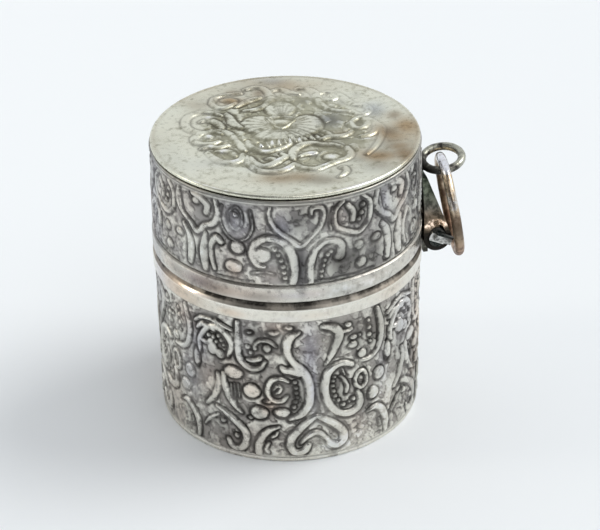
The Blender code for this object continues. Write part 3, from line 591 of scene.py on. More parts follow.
CHASED = old_silver("chased_silver", 0.45)
profile = finer([(WALL_GROUND, WALL_TOP), (WALL_GROUND, 0.55)])
profile += [(WALL_GROUND + 0.03, 0.47), (FOOT_OUT, 0.4), (FOOT_OUT, FOOT_ROUND)]
profile += bow((FOOT_OUT - FOOT_ROUND, FOOT_ROUND), FOOT_ROUND, 0, -90, 4)[1:]
profile += [(WALL_INNER, 0), (WALL_INNER, WALL_TOP), profile[0]]
mesh = turned("chased_body_wall", profile)
emboss(
    mesh, BODY_STROKES, BODY_DOMES, on_body, middle=8, low=0.45, high=16.6, ground=WALL_GROUND,
    depth=RELIEF, patches=(BODY_SHADE, BODY_COOL, BODY_WARM, BODY_POLISH_AND_HIGHLIGHT),
    lines=[(0.5, 0.05, 0.6), (16.16, 0.10, 0.8)],
)
piece("chased_body_wall", mesh, CHASED, "body", "chased_silver", "body_wall")

# Base disc and collar: plain silver sheet, the disc let into the foot of the wall and the collar
# into the body's mouth. Both are dull and softly mottled.
PLAIN = old_silver(
    "plain_silver", 0.15, False, rubbed=(0.70, 0.67, 0.61), ground=(0.5, 0.47, 0.42), mottle=0.8
)
for name in ("base_disc", "inner_collar"):
    dress(nodes[name].data, PLAIN)

# Rim moulding: a plain band round the body's mouth, bevelled in to the split. Handling keeps its
# face pale, and the bevel has a thin golden tarnish under a painted dark reflection and a painted
# highlight on its left. The split above it is painted black as a painted shadow.
RIM = old_silver(
    "rim_silver", 0.10, rubbed=(0.83, 0.81, 0.73), ground=(0.55, 0.52, 0.46),
    brown=(0.92, 0.78, 0.68), mottle=0.5,
)
RIM_TOP = 18.1
RIM_FOOT = 16.12
RIM_IN = 12.66
RIM_OUT = 13.32
BEVEL_FOOT = 17.48
HINGE_X = 14.05
HINGE_Z = 18.3
HINGE_ROOM = 1.70


def clear_hinge(mesh, edge, kept):
    """Squeezes a wall beside the hinge from its edge's height towards a kept height, so that the
    barrel, which turns there, has room."""
    points = places(mesh)
    room = np.sqrt((HINGE_ROOM**2 - (HINGE_X - points[:, 0]) ** 2).clip(0, None))
    limit = np.minimum(edge, HINGE_Z - room) if kept < edge else np.maximum(edge, HINGE_Z + room)
    share = (points[:, 2] - kept) / (edge - kept)
    points[:, 2] = np.where(share > 0, kept + share * (limit - kept), points[:, 2])
    put(mesh, points)


profile = [(RIM_IN, RIM_TOP), (12.78, RIM_TOP)] + bow((12.78, RIM_TOP - 0.09), 0.09, 90, 45, 3)
profile += finer([profile[-1], (RIM_OUT - 0.05, BEVEL_FOOT + 0.06)], 0.08)[1:]
profile += [(RIM_OUT - 0.01, BEVEL_FOOT), (RIM_OUT, BEVEL_FOOT - 0.1)]
profile += finer([profile[-1], (RIM_OUT - 0.03, 16.5)], 0.1)[1:]
profile += bow((RIM_OUT - 0.15, RIM_FOOT + 0.14), 0.14, 0, -90, 5)
profile += [(RIM_IN, RIM_FOOT), (RIM_IN, RIM_TOP)]
mesh = turned("body_rim", profile, 320)
points = places(mesh)
angle = front_angle(points)
up = points[:, 2]
bevel = smooth(BEVEL_FOOT, BEVEL_FOOT + 0.06, up)
# Painted light on the bevel: a highlight on its left, a dark reflection across the rest of it, and a thin
# highlight along its foot.
left_highlight = soft_spots(angle, 0 * up, [(-41, 0, 12, 1, 1)])
golden = [(-52, 16.8, 16, 1.5, 0.8), (-24, 16.7, 7, 0.5, 0.8)]
golden += [(12, 16.8, 9, 0.4, 0.3), (48, 16.8, 12, 1, 0.4)]
front_dark_reflection = 0.88 * bevel * (1 - left_highlight) * (0.85 + 0.15 * wander(points, 42, 1.0)) * smooth(17.82, 17.70, up)
lit = 0.9 * bevel * left_highlight * smooth(17.75, 17.65, up)
# The split above the bevel is painted black: a painted shadow of the gap, with dirt in the seam.
painted = {
    "relief": 0.8,
    "groove": np.maximum(smooth(17.70, 17.82, up) * 0.97, 0.8 * bell(up, 16.17, 0.05)) + front_dark_reflection,
    "cool": soft_spots(angle, up, [(-70, 17, 10, 1.5, 0.8), (0, 16.6, 6, 0.4, 0.3)]),
    "warm": soft_spots(angle, up, golden) + 0.3 * smooth(0.2, 1, wander(points, 41, 2.5)) + 0.4 * bevel,
    "bright": lit + 0.4 * bell(up, BEVEL_FOOT - 0.06, 0.06),
}
paint(mesh, painted)
clear_hinge(mesh, RIM_TOP, RIM_FOOT)
piece("body_rim", mesh, RIM, "body", "worn_silver", "body_rim_moulding")

# Lid wall: chased sheet as well, with a plain band at its edge, a dark line above the band and a
# small bead at its head. It is rubbed flatter than the body. Its pattern is given in degrees round
# from the front and heights.
LID_STROKES = [
    [(-6.5, 28.3, 16), (-6.8, 27.3, 18), (-3.6, 26, 22), (1.4, 25, 26), (5.6, 24.2, 30), (9.6, 25, 26),
     (13.4, 25.9, 24), (15.4, 27, 22), (14.8, 28, 22), (11, 28.05, 18), (10.4, 27.4, 12)],
    [(2.4, 20.1, 36), (3.2, 21.6, 38), (2.7, 23, 40), (0.4, 24.2, 38), (-3.8, 24.95, 36), (-8.8, 25, 34),
     (-12.8, 24.3, 34), (-14, 23.2, 34), (-12.2, 22.3, 32), (-9.4, 22.1, 22)],
    [(9.8, 20.1, 30), (9.6, 21.3, 32), (10.2, 22.6, 32), (12.2, 23.7, 32), (15.8, 24.35, 30),
     (19.8, 24.4, 30), (22.8, 23.8, 34), (22.6, 22.9, 42)],
    [(24, 28.3, 16), (20.4, 27.4, 18), (20.8, 26, 20), (24.4, 25.2, 22), (30.6, 24.7, 24), (35, 25.3, 24),
     (36.8, 26.4, 24), (36.4, 27.6, 22), (33, 28.3, 16)],
    [(26, 27.8, 22), (28.4, 27, 28), (28.2, 26.1, 20)],
    [(-35.6, 20.8, 36), (-36.2, 22.2, 50), (-35.8, 23.4, 44), (-35, 24.5, 20)],
    [(-31, 21, 20), (-32.4, 22.4, 28), (-32, 23.6, 28), (-29.6, 24.4, 34), (-27.8, 24.1, 32)],
    [(46.2, 20.9, 34), (47, 22.3, 42), (46, 23.7, 34), (43, 24.7, 20)],
    [(-43.4, 20.8, 36), (-42.8, 22.2, 50), (-43.2, 23.4, 44), (-44, 24.5, 20)],
    [(-49.2, 28.2, 24), (-50.4, 27, 26), (-47.6, 25.9, 28), (-43, 25.2, 28), (-39.4, 24.4, 30),
     (-35.6, 25.2, 28), (-31, 25.8, 28), (-28.6, 26.9, 26), (-29.6, 28.2, 22)],
    [(-45, 28.2, 28), (-46, 27.3, 34), (-42.6, 26.7, 38), (-38.6, 26.2, 30)],
    [(-41, 28.3, 28), (-37, 28.1, 34), (-33.6, 27.5, 36), (-34.4, 26.7, 28)],
    [(-26.6, 27.9, 5), (-27.6, 26.6, 6), (-25.2, 25.1, 6), (-20.6, 24.5, 6), (-16, 24.9, 6),
     (-13.4, 26.3, 6), (-14.2, 27.8, 5)],
    [(-23.8, 27.2, 4), (-23, 26, 5), (-20.4, 25.6, 5), (-18, 26.3, 5), (-18, 27.5, 5), (-20.8, 28, 5),
     (-23.8, 27.2, 4)],
    [(13, 20.28, 7), (22, 20.28, 8), (30, 20.28, 8), (38, 20.28, 7)],
    [(-30, 20.28, 7), (-22, 20.28, 6), (-14, 20.28, 6)],
    [(-14, 21.35, 5), (-9, 21.45, 6), (-5, 21.35, 4)],
    [(19.5, 27.8, 5), (18.2, 26.6, 5), (18.8, 25.6, 5)],
    [(41.5, 27.6, 14), (42.6, 26.2, 20), (45, 25.3, 14)],
]
LID_DOMES = [
    (-10.4, 23.3, 95, 75), (-4.6, 23.9, 23), (-3.2, 23.35, 23), (-2.1, 22.75, 23), (-1.5, 22.1, 23),
    (-1.1, 21.5, 23), (-0.8, 20.9, 23), (18.6, 23.3, 17), (17.1, 23, 20), (15.8, 22.5, 20), (15, 21.95, 20),
    (14.5, 21.4, 20), (14.1, 20.8, 20), (22.2, 22.7, 50, 42), (-20.2, 23.8, 72, 60), (-22.2, 21.7, 82, 68),
    (31, 23.3, 50, 45), (32.2, 21.4, 55, 50), (40, 23.5, 50, 36), (-20.8, 27.2, 20), (-39.4, 27.6, 40, 30),
    (33.2, 27.4, 22), (32.4, 26.6, 22), (31, 26, 20),
]
LID_SHADE = [
    (-34, 19.1, 12, 0.8, 0.8), (-12, 18.9, 9, 0.5, 0.6), (26, 18.9, 9, 0.5, 0.35), (-52, 19.2, 6, 0.6, 0.5),
    (29, 22.4, 3.5, 1.6, 0.9), (5, 27, 6.5, 1.4, 0.75), (6, 21.8, 1.8, 2.4, 1.2),
    (24, 21.9, 6.5, 1.5, 1.15), (38, 22, 4.5, 2, 0.9), (31, 26.6, 3, 1.2, 0.9), (41, 26, 2.5, 2, 0.5),
    (-3.2, 22.6, 2.2, 1.3, 0.4), (-34, 22.6, 3, 1.8, 0.35), (-36, 27, 4, 1.2, 0.4),
    (-20, 26.6, 8, 1.6, 0.12), (20, 27.6, 3, 1, 0.3),
]
LID_COOL = [
    (-40, 19.2, 8, 0.6, 0.7), (-20, 26.4, 7.5, 2.2, 0.8), (-2, 26.3, 4.5, 1.4, 0.9),
    (44, 26.4, 3.5, 2.2, 0.7), (6, 21.8, 2, 2, 0.6), (4, 19.1, 12, 0.35, 0.5),
]
LID_WARM = [
    (-30, 19, 26, 0.7, 0.9), (10, 19.2, 6, 0.5, 0.5), (-22, 21.3, 3.4, 1.1, 0.8), (-6, 21.2, 6, 0.9, 0.4),
    (21, 26.5, 5, 1.6, 0.4), (56, 26, 4, 2.5, 0.6), (-38, 19.3, 10, 0.6, 1), (-20, 19, 5, 0.4, 0.8),
    (-58, 19.2, 8, 0.8, 0.6), (40, 19.3, 14, 0.6, 0.25),
]
# Lighter patches: polish, and painted highlights.
LID_POLISH_AND_HIGHLIGHT = [
    (-21, 26.2, 4.5, 1.4, 0.4), (-8, 21.2, 5, 0.9, 0.3), (-11, 21.3, 9, 1.3, 0.5), (-40, 23, 9, 3, 0.3),
    (30, 19.1, 20, 0.5, 0.5), (19, 25.2, 9, 0.5, 0.3), (55, 23, 10, 4, 0.3), (6, 24.2, 5, 0.5, 0.3),
]
RUBBED = old_silver(
    "rubbed_silver", 0.45, rubbed=(0.68, 0.67, 0.61), ground=(0.42, 0.405, 0.385), dirt=(0.12, 0.115, 0.11)
)
BAND_OUT = 13.28
LID_INNER = 12.55
profile = bow((12.98, 28.80), 0.13, 90, -70, 6) + finer([(12.99, 28.52), (13.05, 20.1)])
profile += [(13.0, 20.02), (13.0, 19.95), (13.2, 19.9), (13.25, 19.86), (BAND_OUT - 0.01, 19.8)]
profile += finer([(BAND_OUT - 0.01, 19.8), (BAND_OUT, 19.1), (BAND_OUT - 0.015, 18.47)], 0.12)[1:]
profile += bow((BAND_OUT - 0.135, 18.42), 0.12, 0, -90, 4) + [(12.61, HINGE_Z), (LID_INNER, 18.36)]
profile += [(LID_INNER, 28.93), profile[0]]
mesh = turned("chased_lid_wall", profile)
emboss(
    mesh, LID_STROKES, LID_DOMES, tuple, middle=5.5, low=20.02, high=28.5, ground=13.02, depth=0.2,
    patches=(LID_SHADE, LID_COOL, LID_WARM, LID_POLISH_AND_HIGHLIGHT),
    # The last line, at the lid's lower edge, is the split painted black: a painted shadow of the gap.
    lines=[(28.80, 0.16, 0.62), (28.44, 0.06, 0.8), (19.99, 0.09, 1.0), (18.32, 0.06, 1.0)],
)
clear_hinge(mesh, HINGE_Z, 20.3)
piece("chased_lid_wall", mesh, RUBBED, "lid", "chased_silver", "lid_wall")

# Lid top: a flat disc with a rounded edge, worked up from behind with a flower in a ring of scrolls.
# Its strokes, domes, veins (from and to) and patches are given where they show in an enlarged view
# of its middle.
LID_FACE = 29.40
TOP_CORNER = (175, 80)
TOP_ZOOM = 7.2
TOP_DEPTH = 0.15
BOLDER = 1.12
VEIN_HALF = 2
TOP_STROKES = [
    [(505, 66, 22), (570, 52, 30), (640, 62, 32), (685, 105, 34), (680, 150, 34), (630, 190, 32),
     (560, 212, 28), (500, 220, 20)],
    [(430, 196, 15), (490, 165, 36), (560, 138, 40), (615, 122, 25)],
    [(265, 168, 25), (280, 130, 30), (330, 110, 28), (400, 100, 26), (470, 92, 22)],
    [(280, 180, 25), (330, 200, 30), (390, 185, 30), (430, 165, 22)],
    [(700, 76, 25), (760, 62, 30), (830, 85, 34), (890, 98, 26)],
    [(880, 58, 25), (950, 62, 34), (1000, 88, 38), (1025, 130, 35), (1055, 175, 35), (1105, 205, 34),
     (1175, 218, 30), (1250, 222, 24)],
    [(1035, 96, 20), (1085, 84, 28), (1140, 92, 30), (1155, 122, 30), (1118, 142, 22), (1086, 128, 16)],
    [(1160, 90, 26), (1205, 120, 38), (1250, 152, 40), (1300, 176, 34), (1360, 174, 30), (1398, 205, 30),
     (1370, 238, 30), (1310, 240, 28), (1272, 215, 20)],
    [(330, 252, 22), (270, 236, 30), (190, 232, 34), (112, 250, 36), (76, 290, 36), (86, 335, 36),
     (135, 364, 36), (205, 376, 34), (262, 362, 26)],
    [(185, 298, 18), (230, 286, 34), (290, 302, 42), (330, 330, 34), (342, 348, 18)],
    [(372, 240, 20), (400, 270, 34), (420, 310, 40), (470, 340, 30)],
    [(330, 386, 20), (262, 372, 30), (192, 380, 36), (146, 410, 36), (148, 442, 34), (200, 458, 32),
     (260, 456, 28), (312, 442, 26)],
    [(268, 366, 20), (340, 366, 28), (402, 396, 34), (424, 434, 26)],
    [(196, 492, 20), (250, 478, 30), (310, 486, 30), (380, 470, 24)],
    [(236, 520, 22), (290, 560, 34), (352, 588, 40), (424, 588, 40), (480, 565, 34), (490, 532, 26)],
    [(300, 515, 22), (352, 512, 36), (404, 518, 34), (436, 542, 26)],
    [(390, 385, 16), (432, 428, 28), (470, 470, 34), (500, 505, 26)],
    [(522, 440, 22), (545, 476, 34), (600, 505, 38), (662, 514, 36), (724, 502, 28), (790, 480, 24),
     (832, 456, 16)],
    [(545, 556, 22), (572, 590, 34), (632, 614, 38), (700, 600, 38), (760, 570, 34), (800, 548, 26),
     (770, 530, 20)],
    [(520, 545, 18), (534, 604, 28), (604, 645, 34), (700, 656, 36), (790, 640, 36), (852, 602, 28)],
    [(848, 566, 26), (850, 510, 34), (904, 466, 36), (980, 450, 34), (1060, 460, 30), (1140, 460, 30),
     (1196, 474, 22)],
    [(868, 604, 26), (930, 632, 34), (1010, 636, 36), (1090, 612, 34), (1170, 582, 34), (1240, 558, 32),
     (1266, 520, 32), (1240, 482, 28)],
    [(900, 546, 20), (950, 528, 34), (1012, 518, 26)],
    [(1060, 424, 26), (1110, 402, 34), (1180, 400, 34), (1242, 384, 28), (1272, 362, 20)],
    [(1052, 362, 20), (1090, 376, 28), (1124, 398, 20)],
    [(1268, 302, 24), (1300, 274, 26), (1350, 272, 26), (1382, 302, 26), (1358, 334, 26), (1300, 338, 26),
     (1268, 302, 24)],
    [(1330, 262, 18), (1402, 280, 30), (1450, 312, 32), (1448, 352, 32), (1402, 384, 30), (1330, 400, 22)],
    [(1440, 290, 14), (1490, 332, 24), (1482, 400, 26), (1432, 480, 24), (1384, 528, 18)],
    [(1180, 694, 10), (1218, 676, 20), (1240, 650, 24), (1226, 626, 20), (1196, 630, 14)],
    [(650, 272, 8), (700, 264, 12), (765, 260, 12), (830, 264, 12), (872, 274, 8)],
    [(650, 284, 8), (700, 320, 12), (765, 346, 12)],
    [(866, 284, 8), (826, 318, 12), (770, 346, 12)],
    [(612, 456, 10), (626, 474, 14)],
    [(655, 448, 10), (672, 478, 17)],
    [(696, 438, 10), (706, 474, 18)],
    [(742, 430, 10), (752, 464, 19)],
    [(786, 424, 10), (796, 452, 15)],
    [(826, 418, 10), (834, 448, 17)],
    [(864, 414, 10), (872, 440, 13)],
    [(898, 410, 10), (906, 440, 17)],
    [(940, 408, 10), (950, 432, 13)],
    [(984, 404, 10), (1000, 424, 13)],
    [(1020, 396, 10), (1040, 414, 11)],
]
TOP_DOMES = [
    (755, 206, 155, 170), (600, 318, 170, 190), (950, 318, 160, 210), (800, 388, 250, 120),
    (690, 392, 170, 120), (765, 298, 100, 50), (240, 405, 50), (1130, 550, 80, 70), (1110, 110, 25, 30),
    (1250, 312, 30, 40), (385, 142, 80, 50), (690, 560, 50, 30),
]
TOP_VEINS = [
    (755, 262, 668, 196), (755, 262, 700, 172), (757, 258, 730, 158), (760, 258, 762, 156),
    (764, 258, 796, 160), (768, 262, 830, 176), (770, 264, 852, 206), (690, 306, 500, 262),
    (690, 312, 490, 292), (690, 318, 488, 322), (694, 324, 494, 352), (700, 330, 510, 384),
    (708, 336, 548, 412), (860, 300, 1030, 236), (862, 306, 1058, 262), (862, 314, 1066, 296),
    (860, 322, 1068, 330), (852, 330, 1062, 362), (844, 338, 1040, 388), (766, 352, 600, 440),
    (768, 354, 650, 442), (770, 356, 700, 432), (774, 356, 760, 424), (778, 356, 820, 416),
    (782, 354, 890, 408), (786, 350, 960, 404), (440, 190, 560, 142), (470, 200, 600, 150),
    (900, 150, 1000, 180), (880, 165, 990, 195), (1070, 480, 1200, 500), (1350, 440, 1440, 380),
    (1340, 470, 1450, 420), (600, 520, 720, 520), (620, 630, 760, 628), (330, 560, 430, 560),
]
TOP_SHADE = [
    (1640, 520, 1.6, 2.4, 0.4), (1476, 612, 2, 1.4, 0.38), (1044, 715, 2.2, 1.1, 0.6),
    (1224, 665, 1.6, 1.2, 0.2), (1188, 432, 2, 2.2, 0.28), (900, 360, 1.5, 2, 0.22), (468, 76, 2, 1.4, 0.2),
    (180, 180, 1.6, 1.4, 0.26), (1120, 285, 1.1, 1.4, 0.85), (930, 148, 0.9, 0.9, 0.55),
    (430, 84, 0.9, 0.7, 0.5), (604, 88, 0.6, 0.8, 0.55), (385, 262, 0.4, 1.2, 0.45),
    (285, 262, 0.35, 0.5, 0.5), (320, 418, 0.5, 0.7, 0.5), (215, 490, 0.35, 0.6, 0.75),
    (1010, 545, 0.6, 0.6, 0.5), (1320, 300, 0.4, 0.6, 0.6), (1440, 230, 1, 1.4, 0.5),
    (1190, 160, 0.7, 0.7, 0.35), (600, 490, 1, 0.5, 0.3), (760, 420, 0.3, 0.5, 0.3),
    (640, 600, 1, 0.5, 0.25), (1540, 360, 1, 1.2, 0.55), (1330, 570, 0.9, 0.8, 0.4),
    (1570, 250, 0.7, 1, 0.45), (190, 180, 1.1, 0.9, 0.25), (1540, 470, 1.6, 2.2, 0.4),
    (330, 590, 1.4, 0.4, 0.3), (1310, 100, 0.5, 0.8, 0.3), (840, 700, 2.6, 0.9, 0.28),
    (480, 700, 2, 0.4, 0.15), (700, 20, 1.6, 0.8, 0.3),
]
TOP_COOL = [
    (1120, 285, 1.3, 1.6, 1), (1430, 200, 1.1, 1.6, 0.8), (240, 600, 3, 1.6, 0.3),
    (700, 630, 2.5, 0.8, 0.4), (700, 5, 1.5, 0.8, 0.7),
]
TOP_WARM = [
    (1650, 515, 1.5, 2.4, 0.9), (1500, 610, 1.8, 1.2, 0.5), (1044, 715, 2, 1, 0.4),
    (1660, 330, 1.5, 2.2, 1), (1610, 470, 1.6, 1.2, 1), (1560, 400, 2, 2.6, 1), (1480, 540, 2.2, 1.6, 0.9),
    (400, 150, 1.6, 1, 0.7), (430, 84, 1, 0.8, 0.8), (780, 30, 4, 1.6, 0.5), (840, 700, 3, 1.2, 0.9),
    (1570, 250, 0.9, 1, 0.7), (600, 90, 0.8, 0.9, 0.7), (1250, 620, 2, 1, 0.5), (1200, 380, 1.2, 0.8, 0.5),
    (180, 200, 1.6, 1, 0.5),
]
# Painted highlights: glints on the forms' lit slopes.
TOP_HIGHLIGHTS = [
    (240, 264, 0.35, 0.3, 1), (245, 406, 0.35, 0.5, 1), (262, 478, 0.3, 0.3, 0.9), (345, 516, 0.4, 0.35, 1),
    (430, 580, 0.55, 0.35, 1), (655, 514, 0.5, 0.2, 1), (735, 570, 0.35, 0.4, 1), (812, 632, 0.6, 0.4, 1),
    (985, 526, 0.5, 0.3, 1), (1130, 552, 0.4, 0.4, 0.9), (1072, 608, 0.5, 0.4, 1),
    (1365, 416, 0.9, 0.22, 1), (625, 472, 0.2, 0.3, 1), (700, 452, 0.2, 0.5, 1), (756, 446, 0.2, 0.5, 1),
    (832, 436, 0.18, 0.4, 1), (902, 430, 0.18, 0.4, 1), (1030, 410, 0.4, 0.15, 0.8),
    (530, 214, 0.6, 0.2, 0.7), (1110, 180, 0.5, 0.3, 0.5),
]
TOP_CREAM = old_silver(
    "cream_silver", 0.16, rubbed=(0.77, 0.77, 0.65), ground=(0.49, 0.48, 0.36), dirt=(0.25, 0.24, 0.17),
    deep=(0.06, 0.05, 0.038), blue=(0.82, 0.86, 1.0), brown=(0.54, 0.395, 0.27), mottle=0.9,
)


def as_seen(x, y):
    """A place in millimetres to the camera's right and away from it."""
    return x * cos(CAMERA_TURN) - y * sin(CAMERA_TURN), x * sin(CAMERA_TURN) + y * cos(CAMERA_TURN)


def on_lid(point):
    """Where the lid's face shows at a point of its view, with what else the point carries."""
    ray = view_ray(point, TOP_CORNER, TOP_ZOOM)
    spot = (viewpoint + (LID_FACE * MM - viewpoint.z) / ray.z * ray) / MM
    return (*as_seen(spot.x, spot.y), *point[2:])


profile = finer([(0, LID_FACE), (12.45, LID_FACE)], 0.115)
profile += finer([(12.45, LID_FACE), (12.62, LID_FACE - 0.03)], 0.1)[1:]
profile += bow((12.78, LID_FACE - 0.20), 0.22, 130, -80, 14) + [(12.6, 28.96), (0, 28.96)]
mesh = turned("lid_disc", profile, 560)
points = places(mesh)
upper = np.flatnonzero(points[:, 2] > 29.05)
face = points[upper]
radius = np.hypot(face[:, 0], face[:, 1])
x, y = as_seen(face[:, 0], face[:, 1])
x, y = x + 0.05 * wander(face, 51, 0.7), y + 0.05 * wander(face, 52, 0.7)
strokes = [[(*on_lid(point)[:2], BOLDER * point[2]) for point in stroke] for stroke in TOP_STROKES]
gap, share = stroke_distance(x, y, strokes)
dome_gap, dome_share = dome_distance(x, y, [on_lid(dome) for dome in TOP_DOMES])
either = np.minimum(gap, dome_gap)
band = smooth(0.16, -0.2, gap) * (0.72 + 0.28 * smooth(0, 0.9, share))
button = smooth(0.12, -0.3, dome_gap) * (0.55 + 0.45 * np.sqrt(dome_share))
raised = np.maximum(band, button * np.where(gap > 0.05, 1, 0.4))
groove = bell(either, 0.13, 0.12)
veins = [[(*on_lid(end), VEIN_HALF) for end in (vein[:2], vein[2:])] for vein in TOP_VEINS]
bent = [0.22 * wander(face, seed, 1.6) for seed in (58, 59)]
vein = bell(stroke_distance(x + bent[0], y + bent[1], veins, 0.5)[0].clip(0, None), 0, 0.11)
vein *= smooth(-0.8, 0.5, wander(face, 60, 1.2))
inside = smooth(12.2, 11.0, radius)
leafy = wander(face, 61, 0.34) + 0.5 * wander(face, 62, 0.2)
free = smooth(0.1, 0.3, either) * smooth(1.0, 0.7, either) * smooth(8.6, 7.6, radius)
raised = np.maximum(raised, 0.5 * free * smooth(-0.1, 0.3, leafy))
groove = np.maximum(groove, 0.7 * free * bell(leafy, -0.12, 0.15))
sunk = (0.15 * wander(face, 53, 1.4) + 0.06 * wander(face, 54, 0.5)) * 0.5 - 0.4
points[upper, 2] += TOP_DEPTH * inside * (raised - 0.3 * groove * (1 - raised) - 0.25 * vein + sunk)
points[upper, 2] = points[upper, 2].clip(None, 29.5)
put(mesh, points)
patches = (TOP_SHADE, TOP_COOL, TOP_WARM, TOP_HIGHLIGHTS)
shade, cool, warm, bright = (soft_spots(x, y, [on_lid(spot) for spot in spots]) for spots in patches)
rim = smooth(12.3, 12.6, radius) * smooth(12.85, 12.7, radius)
plain = smooth(7.2, 8.8, radius)
grime = smooth(-0.7, 0.8, wander(face, 64, 1.1))
stain = 0.1 * rim + 0.2 * smooth(0.2, 1, wander(face, 57, 2.5))
cut = groove * (1 - raised) * (0.25 + 0.45 * grime) + 0.5 * vein * (0.5 + 0.5 * grime)
# The edge line moved aside: a painted shadow below and to the left of the strokes.
side_shadow = chase(x + 0.2, y + 0.12, strokes, [])[1]
# A painted highlight along the rounded edge on either side of the front.
edge_highlight = soft_spots(front_angle(face), radius, [(30, 12.75, 16, 0.2, 1), (-32, 12.8, 16, 0.1, 0.7)])
# The recesses are darkened as tarnish and as painted shade, and the painted side shadow is added to them.
painted = {
    "relief": np.maximum(raised * (0.75 + 0.2 * wander(face, 65, 0.5)), 0.9 * plain) * (1 - 0.3 * vein),
    "groove": cut.clip(0, 1) * inside,
    "pool": ((np.exp(-either.clip(0, None) / 0.4) + 0.6 * side_shadow) * (0.35 + 0.65 * grime)).clip(0, 1) * inside,
    "shade": shade * (1 - 0.5 * raised) + 0.1 * rim + 0.12 * smooth(0.3, 1, wander(face, 56, 1.8)),
    "cool": cool,
    "warm": warm * (0.8 + 0.35 * wander(face, 63, 0.9)) + stain,
    "bright": np.maximum(bright, 0.9 * edge_highlight),
}
paint(mesh, painted, upper, shade=0.2)
piece("lid_disc", mesh, TOP_CREAM, "lid", "worn_silver", "lid_top")

# Hinge: sheet rolled round a pin whose flattened end is bent over, dark with age and never polished.
# The rolled sheet's end is nearly black, and a highlight is painted along its top near the front end.
BARREL_OUT = 1.45
BARREL_END = -4.6
TAB_TURN = radians(25)
TAB_HALF = 0.43
DARK = old_silver(
    "dark_silver", 0.5, False, rubbed=(0.24, 0.23, 0.20), ground=(0.075, 0.075, 0.065),
    brown=(1.0, 0.78, 0.62), blue=(0.80, 0.98, 0.86), relief=0.4, mottle=1.3,
)
PIN = old_silver(
    "pin_silver", 0.5, False, rubbed=(0.62, 0.62, 0.59), ground=(0.22, 0.22, 0.21),
    deep=(0.016, 0.022, 0.02), relief=0.5, mottle=1.6,
)


def from_pin(mat):
    """How far a place lies from the pin's axis along X and Z, and where along Y, in metres."""
    place = node(mat.node_tree, "ShaderNodeTexCoord").outputs["Object"]
    spot = node(mat.node_tree, "ShaderNodeSeparateXYZ", {0: place}).outputs
    return minus(spot[0], HINGE_X * MM), minus(spot[2], HINGE_Z * MM), spot[1]


def age(mat, **values):
    """Feeds values into a finish's group."""
    feed(next(n for n in mat.node_tree.nodes if n.type == "GROUP"), values)


x, z, along = from_pin(PIN)
side = plus(times(x, sin(TAB_TURN)), times(z, cos(TAB_TURN)))
age(PIN, groove=math("GREATER_THAN", math("ABSOLUTE", side), TAB_HALF * MM))
x, z, along = from_pin(DARK)
out = math("SQRT", plus(times(x, x), times(z, z)))
end = times(math("LESS_THAN", out, BARREL_OUT * MM), math("LESS_THAN", along, BARREL_END * MM))
# A painted highlight along the barrel's top near its front end.
crown_highlight = times(ramp(z, 0.7 * MM, 1.3 * MM), ramp(out, 1.75 * MM, 1.5 * MM))
crown_highlight = times(crown_highlight, ramp(along, -3.0 * MM, -4.4 * MM))
stain = times(ramp(z, 2.8 * MM, 1.6 * MM), ramp(z, -0.4 * MM, 1.0 * MM, 0.2, 0.8))
age(DARK, groove=times(end, 0.85), bright=crown_highlight, shade=end, warm=stain, cool=ramp(z, 2.2 * MM, 4.0 * MM))
for name, mat in (("lid_hinge_leaf", DARK), ("body_hinge_leaf", DARK), ("hinge_pin", PIN)):
    dress(nodes[name].data, mat)

# Suspension eye: a ring of round wire soldered flat to the lid's wall on a short foot. A highlight is
# painted on its far side and top, and shade is painted towards the foot and underneath.
EYE = old_silver("eye_silver", 0.4, rubbed=(0.44, 0.44, 0.37), ground=(0.075, 0.072, 0.066), mottle=1.3)
EYE_CENTRE = Vector((15.8453, 0, 24.4571))
EYE_RADIUS = 1.953
EYE_WIRE = 0.40
EYE_DROOP = radians(8)
EYE_RISE = radians(9)


def hoop(bm, radius, wire, place, steps, round_steps):
    """A ring of round wire, drawn round Z and carried to its place."""
    spin(bm, bow((radius, 0), wire, 0, 360, round_steps)[:-1], steps, closed=True)
    bmesh.ops.remove_doubles(bm, verts=bm.verts, dist=WELD)
    bmesh.ops.transform(bm, matrix=place, verts=bm.verts)
    bmesh.ops.recalc_face_normals(bm, faces=bm.faces)


def dented(mesh, depth, seed, size):
    """Pushes the surface in and out a little, as on worn wire, and gives the vertices' new places."""
    points = places(mesh)
    normals = np.array([v.normal[:] for v in mesh.vertices])
    put(mesh, points + depth * wander(points, seed, size)[:, None] * normals)
    return places(mesh)


bm = bmesh.new()
turn = Matrix.Rotation(-EYE_RISE, 4, "Y") @ Matrix.Rotation(EYE_DROOP, 4, "X")
hoop(bm, EYE_RADIUS, EYE_WIRE, Matrix.Translation(EYE_CENTRE * MM) @ turn, 96, 24)
foot_x = EYE_CENTRE.x - EYE_RADIUS * cos(EYE_RISE)
outline = [(0.45, 23.6), (0.47, 23.7), (0.41, 23.9), (0.34, 24.1)]
spin(bm, [(foot_x + r, z) for r, z in outline], 28, axis_x=foot_x)
bmesh.ops.remove_doubles(bm, verts=bm.verts, dist=WELD)
mesh = finished(bm, "suspension_eye")
x, y, z = dented(mesh, 0.012, 61, 0.5).T
# Painted light: paler away from the wall and on top as a painted highlight, darker towards the foot and below
# as painted shade.
painted = {
    "relief": 0.12 + 0.5 * smooth(14.6, 17.4, x) + 0.3 * smooth(24.4, 24.9, z),
    "groove": 0.75 * smooth(14.8, 13.8, x) + 0.3 * smooth(24.5, 24.1, z),
}
paint(mesh, painted)
piece("suspension_eye", mesh, EYE, "lid", "tarnished_silver", "suspension_eye")

